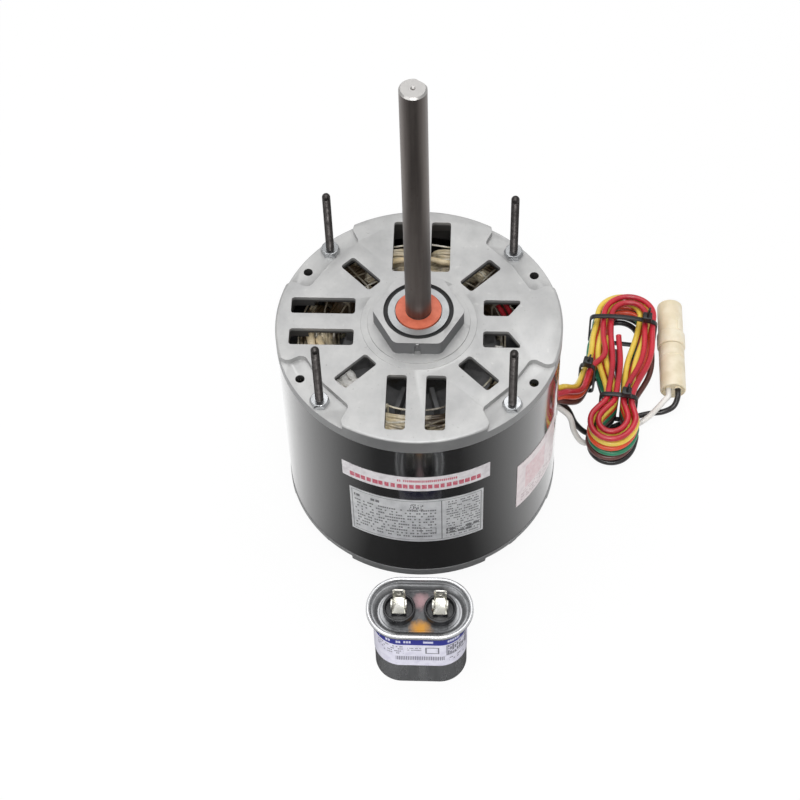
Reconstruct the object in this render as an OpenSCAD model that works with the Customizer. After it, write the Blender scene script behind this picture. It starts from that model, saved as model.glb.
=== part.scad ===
// Condenser fan motor: permanent split capacitor, six poles, with its hank of leads,
// its reversing connector and its oval run capacitor.
// Z is the shaft axis, pointing up. The origin is the centre of the lower hub face,
// which is also the level of the surface that everything stands on. Millimetres.

/* [Shell] */
// Outer diameter of the rolled steel shell
shell_od = 142.4; // [138:0.2:150]
// Wall of the shell
shell_wall = 1.6; // [1.2:0.1:2.2]
// Length of the shell between the two end shields
shell_len = 111.8; // [108:0.2:130]

/* [End shields] */
// Thickness of the cast plate
plate_t = 3.6; // [3:0.1:4.4]
// Depth of the four corner pads below the plate's face
pad_drop = 3.4; // [2.8:0.1:4]
// Height of the upper shield's rim above the shell
rim_top_h = 9.2; // [8.6:0.1:12]
// Height of the lower shield's rim below the shell
rim_low_h = 6; // [5:0.1:9]
// How far the rim stands proud of the shell
rim_proud = 0.25; // [0:0.05:0.6]
// Rounding of the rim's outer edge
rim_round = 1.2; // [0.6:0.1:2]
// Length of the spigot that locates in the shell
spigot_len = 7; // [5:0.5:9]
// Wall of the spigot
spigot_wall = 2.6; // [2:0.1:3.2]
// Radial clearance of the spigot in the shell
spigot_fit = 0.1; // [0.05:0.05:0.2]

/* [Hub] */
// Height of the hexagonal hub above the plate
hub_h = 10; // [9.4:0.1:13]
// Width of the hub across its flats
hub_af = 40; // [38.6:0.2:44]
// Rounding of the hub's six corners
hub_round = 4; // [2:0.5:6]
// Diameter of the bore that holds the rubber ring
hub_bore_d = 34.7; // [33.4:0.1:35.4]
// Diameter of the low round step under the hub
hub_step_d = 51; // [49:0.5:54]
// Depth of the bearing pocket below the plate's face
pocket_depth = 9; // [8.6:0.1:11]
// Thickness of the pocket's floor
pocket_floor = 3; // [2:0.5:4]

/* [Vents] */
// Width of the straight vents
vent_w = 9.8; // [7:0.2:11]
// Distance from the straight vents' outer ends to the shell's inner wall
vent_rim = 5.6; // [5:0.1:14]
// Distance from the axis to the inner end of every vent
vent_start = 32; // [31:0.5:34]
// Half the distance between the two vents of a pair
vent_pair = 9.65; // [7:0.05:10.5]
// Length of the two short vents on the lead side
vent_short = 18.2; // [14:0.2:24]
// Width of the diagonal vents
vent_diag_w = 8.6; // [6:0.2:10]
// Distance from the diagonal vents' outer ends to the bolts' centres
vent_diag_gap = 12.85; // [12:0.05:18]
// Corner rounding of the vents
vent_round = 1.5; // [0.8:0.1:2.5]

/* [Through bolts] */
// Diameter of the bolts (number 8)
stud_d = 4.17; // [3.4:0.01:4.4]
// Diameter of the bolts' shank, also where the nuts grip them
shank_d = 3.68; // [3:0.01:3.9]
// Distance of the bolts' centres from the shell's inner wall
stud_inset = 3.55; // [3.4:0.05:4.2]
// Length of the bolts above the upper pads
stud_ext = 45; // [30:1:60]
// Radial clearance of the bolts in the shields
stud_fit = 0.25; // [0.15:0.05:0.4]
// Width of the nuts and heads across their flats
nut_af = 8.7; // [7.6:0.1:9]
// Height of the nuts and heads
nut_h = 3.2; // [2.4:0.1:3.3]
// Diameter of the spare hole in each pad
pad_hole_d = 4.6; // [3:0.1:5]
// Angle between each bolt and its spare hole
pad_hole_turn = 15; // [13:0.5:17]

/* [Shaft] */
// Diameter of the shaft (half an inch)
shaft_d = 12.7; // [12.1:0.01:12.9]
// Length of the shaft above the upper hub
shaft_ext = 158.75; // [100:0.25:200]
// Width of the relief groove above the upper hub, where the flat ends
relief_w = 1; // [0.6:0.1:2]
// Depth of the relief groove
relief_depth = 0.3; // [0.2:0.05:0.6]
// Depth of the flat
flat_depth = 1.2; // [0.6:0.1:1.6]
// Direction that the flat faces
flat_turn = 55; // [0:5:360]
// Chamfer at the shaft's tip
shaft_chamfer = 0.8; // [0.4:0.1:1.2]

/* [Bearings] */
// Outer diameter of the steel bearing cups
cup_d = 30.2; // [29.6:0.1:30.8]
// Wall of the cups
cup_wall = 1.2; // [0.9:0.1:1.4]
// Diameter of the hole in each cup's lip
lip_d = 23.6; // [23.2:0.1:25]
// Thickness of the lips
lip_t = 1.6; // [1:0.1:1.8]
// Outer diameter of the sleeve bearings
sleeve_d = 22; // [20:0.2:22.6]
// Length of the sleeve bearings
sleeve_len = 12.6; // [11:0.1:12.8]
// Radial running clearance of the shaft
running_fit = 0.03; // [0.02:0.01:0.08]
// Outer diameter of the water slinger on the shaft
slinger_d = 22.7; // [20:0.1:22.8]
// Thickness of the slinger
slinger_t = 1.8; // [1.4:0.1:2.2]

/* [Stator] */
// Length of the lamination stack
stack_len = 50; // [42:1:52]
// How far the stack sits above the middle of the shell
stack_shift = 3; // [1:0.5:3.5]
// Width of the stator's back iron behind the slots
yoke_w = 8.55; // [8.5:0.05:10]
// Radial depth of the slots
slot_depth = 17.4; // [16.4:0.1:18]
// Radial depth of the tooth tips between the slots and the bore
tooth_tip = 3; // [2:0.1:4]
// Number of slots
slot_count = 36; // [36]
// Height of the end turns beyond the stack
turn_h = 22.5; // [20:0.5:23]

/* [Rotor] */
// Radial air gap between the rotor and the stator
air_gap = 0.4; // [0.3:0.05:0.8]
// Thickness of the cast end rings
ring_t = 9; // [6:0.5:10]
// Height of the fan blades on the end rings
blade_h = 8; // [4:0.5:9]
// Number of fan blades on each end ring
blade_count = 12; // [6:1:18]
// Number of rotor bars
bar_count = 34; // [20:1:40]
// Diameter of the rotor bars
bar_d = 4; // [2.5:0.1:4.4]

/* [Labels] */
// Thickness of the labels
label_t = 0.15; // [0.1:0.05:0.3]
// Width of the rating plate along the shell, in degrees
plate_span = 56; // [40:1:58]
// Height of the rating plate
plate_h = 39.8; // [25:0.2:41]
// Height of the rating plate's lower edge above the standing level
plate_z = 44.8; // [40:0.2:50]
// Height of the strip label
strip_h = 12.4; // [6:0.2:16]
// Gap between the rating plate and the strip label
strip_gap = 8.8; // [4:0.2:12]
// Width of the strip label along the shell, in degrees
strip_span = 61.6; // [40:0.2:64]
// Width of the side label along the shell, in degrees
side_span = 31; // [15:1:40]

/* [Leads] */
// Diameter of each insulated lead
wire_d = 3.2; // [2.6:0.1:3.2]
// Direction in which the leads leave the shell
exit_turn = 20; // [15:1:25]
// Distance from the middle of the lead exit up to the stator stack
exit_drop = 13.9; // [12.4:0.5:15.9]
// Distance between neighbouring leads in the grommet
grommet_pitch = 3.5; // [3.4:0.05:3.6]
// Diameter of the grommet's bore
grommet_bore = 14.6; // [14.4:0.1:15]
// Wall of the grommet's neck
grommet_neck = 1.4; // [1:0.1:1.8]
// Width of the cable ties
tie_w = 2.6; // [2:0.1:3.6]
// Thickness of the cable ties
tie_t = 1.1; // [0.8:0.1:1.2]

/* [Connector] */
// Outer diameter of the housing that carries the leads
plug_d = 14.4; // [13:0.1:15]
// Length of the housing that carries the leads
plug_len = 29; // [24:0.5:32]
// Outer diameter of the collar where the two housings meet
collar_d = 15.8; // [15.4:0.1:17]
// Length of the collar
collar_len = 9; // [6:0.5:10]
// Length of the loose housing
cap_half_len = 30; // [26:0.5:34]
// Diameter of the contact pins
pin_d = 2.1; // [1.6:0.1:2.4]

/* [Capacitor] */
// Width of the can
can_w = 47; // [44:0.5:52]
// Depth of the can
can_d = 28; // [26:0.5:32]
// Height of the can, to the top of its rim
can_h = 54; // [45:0.5:70]
// How far the rolled rim stands out from the can
rim_out = 3.4; // [2.4:0.1:4]
// Height of the rolled rim
rim_roll = 3.2; // [2.4:0.1:4]
// Depth of the lid below the rim
lid_drop = 4.4; // [3:0.1:6]
// Distance between the two terminals
terminal_pitch = 20.6; // [19:0.1:22]
// Diameter of the terminal cups
terminal_cup_d = 16.4; // [14:0.2:17]
// Height of the spade blades above the lid
blade_top = 16; // [12:0.5:18]
// Clear distance between the shell and the capacitor's rim
can_gap = 26; // [10:0.5:40]
// Height of the capacitor's label
can_label_h = 31; // [20:0.5:34]

/* [Hidden] */
$fn = 96;
cut = 1;

// Levels of the motor, from the standing surface up
shell_or = shell_od / 2;
shell_ir = shell_or - shell_wall;
low_face = hub_h;
shell_z0 = low_face + rim_low_h;
shell_z1 = shell_z0 + shell_len;
top_face = shell_z1 + rim_top_h;
hub_top = top_face + hub_h;
shaft_top = hub_top + shaft_ext;

// Bolts
stud_r = shell_ir - stud_inset;
stud_turns = [45, 135, 225, 315];
// +1 where the spare hole lies anticlockwise of the bolt, -1 where it lies clockwise
spare_side = [-1, 1, -1, 1];
bolt_hole_r = stud_d / 2 + stud_fit;

// Bearing stack, measured from the plate's face outwards
cup_top = hub_h - 0.2;
lip_low = cup_top - lip_t;
spring_t = 0.8;
stack_gap = 0.1;
sleeve_top = lip_low - spring_t - 2 * stack_gap;
sleeve_low = sleeve_top - sleeve_len;
washer_t = 1;
clip_t = 1.1;
clip_depth = 0.8;
clip_d = shaft_d + 5;
shaft_r = shaft_d / 2;
cup_ir = cup_d / 2 - cup_wall;
shaft_low = low_face - sleeve_top + 0.3;
slinger_proud = 0.5;
plug_fit = 0.05;
part_fit = 0.05;

// Stator
core_r = shell_ir - part_fit;
stack_mid = (shell_z0 + shell_z1) / 2 + stack_shift;
stack_z0 = stack_mid - stack_len / 2;
stack_z1 = stack_mid + stack_len / 2;
exit_z = stack_z0 - exit_drop;
slot_step = 360 / slot_count;
slot_bottom_r = core_r - yoke_w;
slot_top_r = slot_bottom_r - slot_depth;
bore_r = slot_top_r - tooth_tip;
slot_w_in = 5;
slot_w_out = 7;
slot_mouth = 2.4;
liner_t = 0.3;
liner_out = 2.4;
main_seat = 5;
start_seat = 3.8;
main_r = slot_bottom_r - main_seat;
start_r = slot_top_r + start_seat;
leg_gap = 0.25;

// Rotor
rotor_r = bore_r - air_gap;
bar_r = rotor_r - bar_d / 2 - 1;
ring_reach = 16.2;
ring_ir = rotor_r - ring_reach;

// Labels
glue_t = 0.05;
front = 270;
strip_z = plate_z + plate_h + strip_gap;
side_turn = 330.5;
side_h = 38.7;
side_z = 46;

// Grommet
grommet_or = grommet_bore / 2 + grommet_neck;
flange_r = grommet_or + 2.2;
flange_t = 2.2;

// Leads, from the lowest layer of the hank to the highest.
// Each row: radius of the far fold, fan angle of the loop, its reach, sway of its runs,
// and how far its near fold sits beyond that of the top layer
lead_names = ["black", "brown", "green", "orange", "yellow", "red"];
lead_shape = [
    [11.4, 2.4, 92, -1.4, 3],
    [11.2, -1.2, 95, 3.2, 2.4],
    [11, 1.8, 94, -3.6, 1.8],
    [10.8, -0.6, 91, -1.2, 1.2],
    [10.4, 1.2, 96, -3.2, 0.6],
    [10.2, -2, 93, 2.6, 0]
];
lead_tint = ["#1d1b1c", "#4a2c26", "#1f7f55", "#e2542f", "#e6c23a", "#c3272f"];
layer_step = 3.7;
loop_step = 4.34;
waist = 5.1;
near_fold = 10.6;
waist_v = 23.6;
wide_v = 70;
near_shift = -2.4;
hank_origin = [103.6, 10.6];
hank_turn = -6;
first_ring = 5.2;
rings_per_loop = 24;
loops = 2;
floor_gap = 0.05;
waist_lift = 5.2;
waist_reach = 22;
loop_tie_v = 78;
loop_tie_reach = 20;

// Route of the group of leads. Through the grommet: distance from the axis, and how much
// further each higher row runs. Then places, headings and dip.
group_exit = [[63.6, 0], [68, 0], [73.6, 0.8], [77.4, 1.9]];
group_bend = [[83.8, 37, 24], 60, 36];
group_tie = [[90, 56, 0], 76];
join_step = 0.8;

// Routes of the connector's two leads, beyond the straight run in the grommet
white_route = [[79.6, 23.6, 21.5], [83, 21.6, 9], [88, 19.4, 2.2], [95, 20.4, 1.9],
    [103, 24, 1.9], [111, 28, 1.9], [118, 32, 2.1], [124, 35.6, 4], [129, 40, 6.4],
    [133.4, 45, 7.7]];
black_route = [[78.4, 28.8, 21.5], [83.6, 27.4, 9], [90, 25.6, 2.6], [97, 27, 1.9],
    [105, 30.4, 1.9], [112, 34.2, 1.9], [119, 37.8, 1.9], [126, 39.8, 1.9],
    [132.8, 40.6, 2.6], [138.4, 42.6, 5.2]];

// Connector
plug_r = plug_d / 2;
collar_r = collar_d / 2;
plug_near = [138.2, 51];
plug_axis_z = collar_r + 0.1;
contact_pitch = 5.2;
lead_entry = 3;
nose_d = 11.2;
nose_len = 8;
nose_fit = 0.15;
pin_fit = 0.08;
joint_y = plug_near.y + plug_len;

// Capacitor
can_x = 2.8;
can_wall = 0.7;
can_y = -(shell_or + can_gap + can_d / 2 + rim_out);
lid_z = can_h - lid_drop;
lid_t = 1;
label_gap = 1;

// ---------- geometry helpers ----------

function unit(v) = v / norm(v);
function flat2(p) = [p.x, p.y];
function smooth(x) = let (k = max(0, min(1, x))) k * k * (3 - 2 * k);
function polar(r, a) = [r * cos(a), r * sin(a)];

// Points of the arc that rounds one corner b between a and c
function corner_arc(a, b, c, r, steps) =
    let (
        to_a = unit(a - b),
        to_c = unit(c - b),
        half = acos(to_a * to_c) / 2,
        hub = b + unit(to_a + to_c) * r / sin(half),
        from = b + to_a * r / tan(half) - hub,
        to = b + to_c * r / tan(half) - hub,
        a0 = atan2(from.y, from.x),
        raw = atan2(to.y, to.x) - a0,
        turn = raw > 180 ? raw - 360 : raw < -180 ? raw + 360 : raw
    )
    [for (i = [0:steps]) hub + polar(r, a0 + turn * i / steps)];

// Outline whose corners are [x, y, rounding]
function rounded(corners, steps = 5) =
    let (n = len(corners))
    [for (i = [0:n - 1])
        each corners[i].z > 0
            ? corner_arc(flat2(corners[(i + n - 1) % n]), flat2(corners[i]),
                flat2(corners[(i + 1) % n]), corners[i].z, steps)
            : [flat2(corners[i])]];

function box_corners(x0, x1, y0, y1, r) =
    [[x0, y0, r], [x1, y0, r], [x1, y1, r], [x0, y1, r]];

module ring(r_in, r_out, z0, z1) {
    rotate_extrude()
        translate([r_in, z0])
            square([r_out - r_in, z1 - z0]);
}

module stadium(w, d) {
    square([w - d, d], center = true);
    translate([(w - d) / 2, 0])
        circle(d = d);
    translate([-(w - d) / 2, 0])
        circle(d = d);
}

// A piece of the shell's outer skin, centred on the direction turn
module skin_patch(turn, span, z0, height) {
    rotate([0, 0, turn - span / 2])
        rotate_extrude(angle = span)
            translate([shell_or + glue_t, z0])
                square([label_t, height]);
}

// Places its children in the upper or the lower end of the motor
module at_top() {
    translate([0, 0, top_face])
        children();
}

module at_bottom() {
    translate([0, 0, low_face])
        rotate([180, 0, 0])
            children();
}

// ---------- shell and end shields ----------

module shell() {
    color("#161617")
        difference() {
            ring(shell_ir, shell_or, shell_z0, shell_z1);
            rotate([0, 0, exit_turn])
                translate([shell_ir - 4, 0, exit_z])
                    rotate([0, 90, 0])
                        cylinder(r = grommet_or + part_fit, h = shell_wall + 8);
        }
}

// Outline of a corner pad about its own diagonal, x outwards
pad_outline = rounded([
    [66, -40, 0], [62.6, -27.6, 4], [54, -25.2, 3.4], [58.6, -6, 12],
    [58.6, 13.2, 3], [66.8, 16.2, 4], [76, 31, 0], [90, 0, 0]
], 5);
pad_scale_r = 66.05;

module pads_2d() {
    grow = stud_r - pad_scale_r;
    for (i = [0:3])
        rotate([0, 0, stud_turns[i]])
            scale([1, -spare_side[i]])
                translate([grow, 0])
                    polygon(pad_outline);
}

module vents_2d() {
    vent_len = shell_ir - vent_rim - vent_start;
    vent_diag_len = stud_r - vent_diag_gap - vent_start;
    long_vent = rounded(box_corners(0, vent_len, -vent_w / 2, vent_w / 2, vent_round), 4);
    short_vent = rounded([
        [0, -vent_w / 2, vent_round], [vent_short, -vent_w / 2, vent_round / 2],
        [vent_short, 1.8 - vent_w / 2, vent_round / 2],
        [vent_short - 5.8, vent_w / 2, vent_round], [0, vent_w / 2, vent_round]
    ], 4);
    diagonal = rounded(
        box_corners(0, vent_diag_len, -vent_diag_w / 2, vent_diag_w / 2, vent_round), 4);
    for (turn = [90, 180, 270], side = [-1, 1])
        rotate([0, 0, turn])
            translate([vent_start, side * vent_pair])
                polygon(long_vent);
    for (side = [-1, 1])
        scale([1, -side])
            translate([vent_start, -vent_pair])
                polygon(short_vent);
    for (turn = stud_turns)
        rotate([0, 0, turn])
            translate([vent_start, 0])
                polygon(diagonal);
}

hub_flats = [30, 150, 270];
key_w = 3;
key_d = 1.5;
step_h = 1;
ring_step_h = 0.3;
ring_step_d = hub_step_d + 6.8;

// Hexagonal hub with three keyways and a small nub over each
module hub_hexagon() {
    corner_r = hub_af / 2 / cos(30);
    root = step_h / 2;
    difference() {
        translate([0, 0, root])
            linear_extrude(hub_h - root)
                polygon(rounded([for (i = [0:5]) [each polar(corner_r, 60 * i), hub_round]], 5));
        for (turn = hub_flats)
            rotate([0, 0, turn])
                translate([hub_af / 2 - key_d, -key_w / 2, 0])
                    cube([key_d + cut, key_w, hub_h - 2.6]);
    }
    for (turn = hub_flats)
        rotate([0, 0, turn])
            translate([hub_af / 2 - 0.3, 0, hub_h - 3])
                cylinder(d = 1.8, h = 2.4, $fn = 24);
}

// One casting, its plate face at z = 0 and its hub pointing up
module end_shield(rim_h) {
    rim_r = shell_or + rim_proud;
    spigot_or = shell_ir - spigot_fit;
    spigot_ir = spigot_or - spigot_wall;
    floor_z = -(pad_drop + plate_t);
    spigot_z = -(rim_h + spigot_len);
    boss_r = hub_bore_d / 2 + 4;
    boss_z = -(pocket_depth + pocket_floor);
    pocket_r = 55;
    difference() {
        union() {
            rotate_extrude()
                polygon(concat(
                    [[0, boss_z], [boss_r, boss_z], [boss_r, -plate_t], [pocket_r, -plate_t],
                        [pocket_r, floor_z], [spigot_ir, floor_z], [spigot_ir, spigot_z],
                        [spigot_or, spigot_z], [spigot_or, -rim_h], [rim_r, -rim_h]],
                    [for (a = [0:15:90]) [rim_r - rim_round, -rim_round] + polar(rim_round, a)],
                    [[ring_step_d / 2, 0], [ring_step_d / 2, ring_step_h],
                        [hub_step_d / 2, ring_step_h], [hub_step_d / 2, step_h], [0, step_h]]));
            hub_hexagon();
        }
        translate([0, 0, -pad_drop])
            linear_extrude(pad_drop + cut)
                pads_2d();
        translate([0, 0, -pocket_depth])
            cylinder(d = hub_bore_d, h = pocket_depth + hub_h + cut);
        translate([0, 0, boss_z - cut])
            cylinder(r = clip_d / 2 + 1.6, h = pocket_floor + 2 * cut);
        translate([0, 0, floor_z - cut])
            linear_extrude(-floor_z + 2 * cut)
                vents_2d();
        for (i = [0:3]) {
            rotate([0, 0, stud_turns[i]])
                translate([stud_r, 0, spigot_z - cut])
                    cylinder(r = bolt_hole_r, h = -spigot_z + 2 * cut);
            rotate([0, 0, stud_turns[i] + spare_side[i] * pad_hole_turn])
                translate([stud_r, 0, spigot_z - cut])
                    cylinder(d = pad_hole_d, h = -spigot_z + 2 * cut);
        }
    }
}

module top_end_shield() {
    color("#b9babb")
        at_top()
            end_shield(rim_top_h);
}

module bottom_end_shield() {
    color("#b9babb")
        at_bottom()
            end_shield(rim_low_h);
}

module through_bolts() {
    bolt_low = low_face + pad_drop;
    bolt_high = top_face - pad_drop + stud_ext;
    thread_low = top_face - pad_drop + nut_h;
    tip = stud_d / 2;
    color("#4c4a49")
        for (turn = stud_turns)
            rotate([0, 0, turn])
                translate([stud_r, 0, 0]) {
                    translate([0, 0, bolt_low])
                        cylinder(d = shank_d, h = thread_low - bolt_low);
                    translate([0, 0, thread_low])
                        cylinder(d = stud_d, h = bolt_high - tip - thread_low);
                    translate([0, 0, bolt_high - tip])
                        intersection() {
                            sphere(d = stud_d);
                            cylinder(d = stud_d + 1, h = stud_d);
                        }
                    translate([0, 0, bolt_low - nut_h])
                        cylinder(d = nut_af / cos(30), h = nut_h, $fn = 6);
                }
}

module stud_nuts() {
    color("#d9dadb")
        for (turn = stud_turns)
            rotate([0, 0, turn])
                translate([stud_r, 0, top_face - pad_drop])
                    rotate([0, 0, -turn])
                        difference() {
                            intersection() {
                                cylinder(d = nut_af / cos(30), h = nut_h, $fn = 6);
                                translate([0, 0, -0.2])
                                    cylinder(d1 = nut_af + 5, d2 = nut_af - 0.2, h = nut_h + 0.2);
                            }
                            translate([0, 0, -cut])
                                cylinder(d = shank_d, h = nut_h + 2 * cut);
                        }
}

// ---------- bearings ----------

module rubber_ring() {
    color("#1b1b1c")
        ring(cup_d / 2 + part_fit, hub_bore_d / 2 - part_fit, -pocket_depth, hub_h - 1.6);
}

module bearing_cup() {
    color("#c9cbcc")
        rotate_extrude()
            polygon([
                [clip_d / 2 + 1.2, -pocket_depth], [cup_d / 2, -pocket_depth],
                [cup_d / 2, cup_top], [lip_d / 2, cup_top], [lip_d / 2, lip_low],
                [cup_ir, lip_low], [cup_ir, 1.2 - pocket_depth],
                [clip_d / 2 + 1.2, 1.2 - pocket_depth]
            ]);
}

module felt_wick() {
    color("#d8cdb0")
        ring(sleeve_d / 2 + 0.1, cup_ir - part_fit, sleeve_low + 0.4, sleeve_top - 0.4);
}

// Barrel-shaped sleeve, so that it lines itself up in the wick
module sleeve_bearing() {
    mid = (sleeve_low + sleeve_top) / 2;
    barrel = 14;
    color("#a97b3e")
        difference() {
            translate([0, 0, mid])
                intersection() {
                    cylinder(r = sleeve_d / 2, h = sleeve_len, center = true);
                    sphere(r = barrel);
                }
            translate([0, 0, mid])
                cylinder(r = shaft_r + running_fit, h = sleeve_len + 2 * cut, center = true);
        }
}

module bearing_spring() {
    finger_w = 3;
    color("#8f9294")
        difference() {
            ring(clip_d / 2 + 0.6, cup_ir - part_fit, lip_low - stack_gap - spring_t,
                lip_low - stack_gap);
            for (turn = [0:60:300])
                rotate([0, 0, turn])
                    translate([cup_ir - 1.6, -finger_w / 2, 0])
                        cube([4, finger_w, hub_h]);
        }
}

module top_rubber_ring() {
    at_top()
        rubber_ring();
}

module bottom_rubber_ring() {
    at_bottom()
        rubber_ring();
}

module top_bearing_cup() {
    at_top()
        bearing_cup();
}

module bottom_bearing_cup() {
    at_bottom()
        bearing_cup();
}

module top_felt_wick() {
    at_top()
        felt_wick();
}

module bottom_felt_wick() {
    at_bottom()
        felt_wick();
}

module top_sleeve_bearing() {
    at_top()
        sleeve_bearing();
}

module bottom_sleeve_bearing() {
    at_bottom()
        sleeve_bearing();
}

module top_bearing_spring() {
    at_top()
        bearing_spring();
}

module bottom_bearing_spring() {
    at_bottom()
        bearing_spring();
}

module bore_plug() {
    color("#2a2a2b")
        at_bottom()
            translate([0, 0, lip_low])
                cylinder(r = lip_d / 2 - plug_fit, h = lip_t);
}

// ---------- rotor ----------

module shaft() {
    tip_cone = 2.4;
    groove = clip_t + 0.1;
    relief_z = hub_top + slinger_proud + part_fit;
    color("#5a5555")
        difference() {
            rotate_extrude()
                polygon([
                    [0, shaft_low], [shaft_r - 0.5, shaft_low], [shaft_r, shaft_low + 0.5],
                    [shaft_r, shaft_top - shaft_chamfer], [shaft_r - shaft_chamfer, shaft_top],
                    [0, shaft_top]
                ]);
            translate([0, 0, shaft_top - tip_cone / 2])
                cylinder(d1 = 0.4, d2 = tip_cone, h = tip_cone / 2 + 0.01);
            rotate([0, 0, flat_turn])
                translate([shaft_r - flat_depth, -shaft_d, relief_z + relief_w / 2])
                    cube([shaft_d, 2 * shaft_d, shaft_top - relief_z]);
            ring(shaft_r - relief_depth, shaft_d, relief_z, relief_z + relief_w);
            for (z = [top_face + clip_level, low_face - clip_level - groove])
                ring(shaft_r - clip_depth, shaft_d, z, z + groove);
        }
}

// Level of the retaining ring below the plate's face
clip_level = sleeve_low - 0.1 - washer_t - clip_t - 0.1;

module rotor_core() {
    color("#6d6f71")
        difference() {
            ring(shaft_r, rotor_r, stack_z0, stack_z1);
            for (i = [0:bar_count - 1])
                rotate([0, 0, 360 * i / bar_count])
                    translate([bar_r, 0, stack_z0 - cut])
                        cylinder(d = bar_d + 2 * part_fit, h = stack_len + 2 * cut, $fn = 24);
        }
}

module rotor_cage() {
    ring_or = rotor_r - 0.4;
    blade_w = ring_or - ring_ir - 3;
    blade_t = 2.2;
    color("#c2c4c6") {
        for (i = [0:bar_count - 1])
            rotate([0, 0, 360 * i / bar_count])
                translate([bar_r, 0, stack_z0 - 1])
                    cylinder(d = bar_d, h = stack_len + 2, $fn = 24);
        for (end = [0, 1])
            translate([0, 0, stack_mid])
                rotate([180 * end, 0, 0]) {
                    ring(ring_ir, ring_or, stack_len / 2, stack_len / 2 + ring_t);
                    for (i = [0:blade_count - 1])
                        rotate([0, 0, 360 * (i + 0.5) / blade_count])
                            translate([ring_or - blade_w - 1, -blade_t / 2,
                                    stack_len / 2 + ring_t - 0.5])
                                cube([blade_w, blade_t, blade_h + 0.5]);
                }
    }
}

module shaft_slinger() {
    color("#d9623d")
        at_top()
            ring(shaft_r, slinger_d / 2, hub_h + slinger_proud - slinger_t,
                hub_h + slinger_proud);
}

module thrust_washers() {
    washer_r = clip_d / 2 - 0.2;
    inner_low = sleeve_low - 0.1 - washer_t;
    color("#7d6a4d") {
        at_top() {
            ring(shaft_r + part_fit, washer_r, inner_low, inner_low + washer_t);
            ring(shaft_r + part_fit, shaft_r + 2.6, sleeve_top + 0.1,
                hub_h + slinger_proud - slinger_t - part_fit);
        }
        at_bottom()
            ring(shaft_r + part_fit, washer_r, inner_low, inner_low + washer_t);
    }
}

module retaining_rings() {
    opening = 80;
    color("#8a8d90") {
        at_top()
            translate([0, 0, clip_level + 0.05])
                clip(opening);
        at_bottom()
            translate([0, 0, clip_level + 0.05])
                clip(opening);
    }
}

module clip(opening) {
    difference() {
        ring(shaft_r - clip_depth, clip_d / 2, 0, clip_t);
        rotate([0, 0, -opening / 2])
            linear_extrude(3 * clip_t, center = true)
                polygon([[0, 0], polar(clip_d, 0), polar(clip_d, opening)]);
    }
}

// ---------- stator ----------

// Outline of one slot along +X, inset by the amount given
function slot_outline(inset) = [
    [slot_top_r + inset, -slot_w_in / 2 + inset],
    [slot_bottom_r - 1.5 - inset / 2, -slot_w_out / 2 + inset],
    [slot_bottom_r - inset, -slot_w_out / 2 + 1.5 + inset / 2],
    [slot_bottom_r - inset, slot_w_out / 2 - 1.5 - inset / 2],
    [slot_bottom_r - 1.5 - inset / 2, slot_w_out / 2 - inset],
    [slot_top_r + inset, slot_w_in / 2 - inset]
];

module stator_core() {
    color("#77797b")
        translate([0, 0, stack_z0])
            difference() {
                ring(bore_r, core_r, 0, stack_len);
                for (i = [0:slot_count - 1])
                    rotate([0, 0, slot_step * (i + 0.5)])
                        translate([0, 0, -cut])
                            linear_extrude(stack_len + 2 * cut) {
                                polygon(slot_outline(0));
                                translate([bore_r - 2, -slot_mouth / 2])
                                    square([slot_top_r - bore_r + 3, slot_mouth]);
                            }
                for (turn = stud_turns)
                    rotate([0, 0, turn])
                        translate([stud_r - bolt_hole_r - 0.2, -bolt_hole_r - 0.2, -cut])
                            cube([stud_inset + bolt_hole_r + 2, 2 * bolt_hole_r + 0.4,
                                    stack_len + 2 * cut]);
            }
}

module slot_liners() {
    color("#d9d2bd")
        for (i = [0:slot_count - 1])
            rotate([0, 0, slot_step * (i + 0.5)])
                translate([0, 0, stack_z0 - liner_out])
                    linear_extrude(stack_len + 2 * liner_out)
                        difference() {
                            polygon(slot_outline(part_fit));
                            polygon(slot_outline(part_fit + liner_t));
                        }
}

// One coil: two slot legs and an end turn above and below the stack
module coil(centre, reach, radius, leg_w, leg_d, z_low, z_high) {
    half_turn = leg_w / 2 / radius * 180 / PI;
    legs = stack_len / 2 + z_high - 1;
    chamfer = (z_high - z_low) * 0.3;
    for (side = [-1, 1])
        rotate([0, 0, centre + side * reach])
            translate([radius - leg_d / 2, -leg_w / 2, stack_mid - legs])
                cube([leg_d, leg_w, 2 * legs]);
    for (end = [-1, 1])
        translate([0, 0, stack_mid])
            scale([1, 1, end])
                rotate([0, 0, centre - reach - half_turn])
                    rotate_extrude(angle = 2 * (reach + half_turn))
                        translate([radius - leg_d / 2 - 0.6, stack_len / 2 + z_low])
                            polygon([
                                [0, 0], [leg_d + 1.2, 0], [leg_d + 1.2, z_high - z_low - chamfer],
                                [leg_d + 1.2 - chamfer, z_high - z_low],
                                [chamfer, z_high - z_low], [0, z_high - z_low - chamfer]
                            ]);
}

poles = [0:5];

module main_winding() {
    leg_w = slot_w_out - 2 * (liner_t + part_fit + leg_gap) - 0.6;
    leg_d = 7.4;
    color("#8b4a2b")
        for (pole = poles) {
            coil(60 * pole, 25, main_r, leg_w, leg_d, turn_h - 9, turn_h);
            coil(60 * pole, 15, main_r, leg_w, leg_d, 4, turn_h - 10);
        }
}

module start_winding() {
    leg_w = slot_w_in - 2 * (liner_t + part_fit + leg_gap) - 0.1;
    leg_d = 6;
    color("#a5603a")
        for (pole = poles) {
            coil(60 * pole + 30, 25, start_r, leg_w, leg_d, turn_h - 10.5, turn_h - 3);
            coil(60 * pole + 30, 15, start_r, leg_w, leg_d, 4, turn_h - 11.5);
        }
}

lace_count = 18;
lace_t = 1.1;

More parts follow.
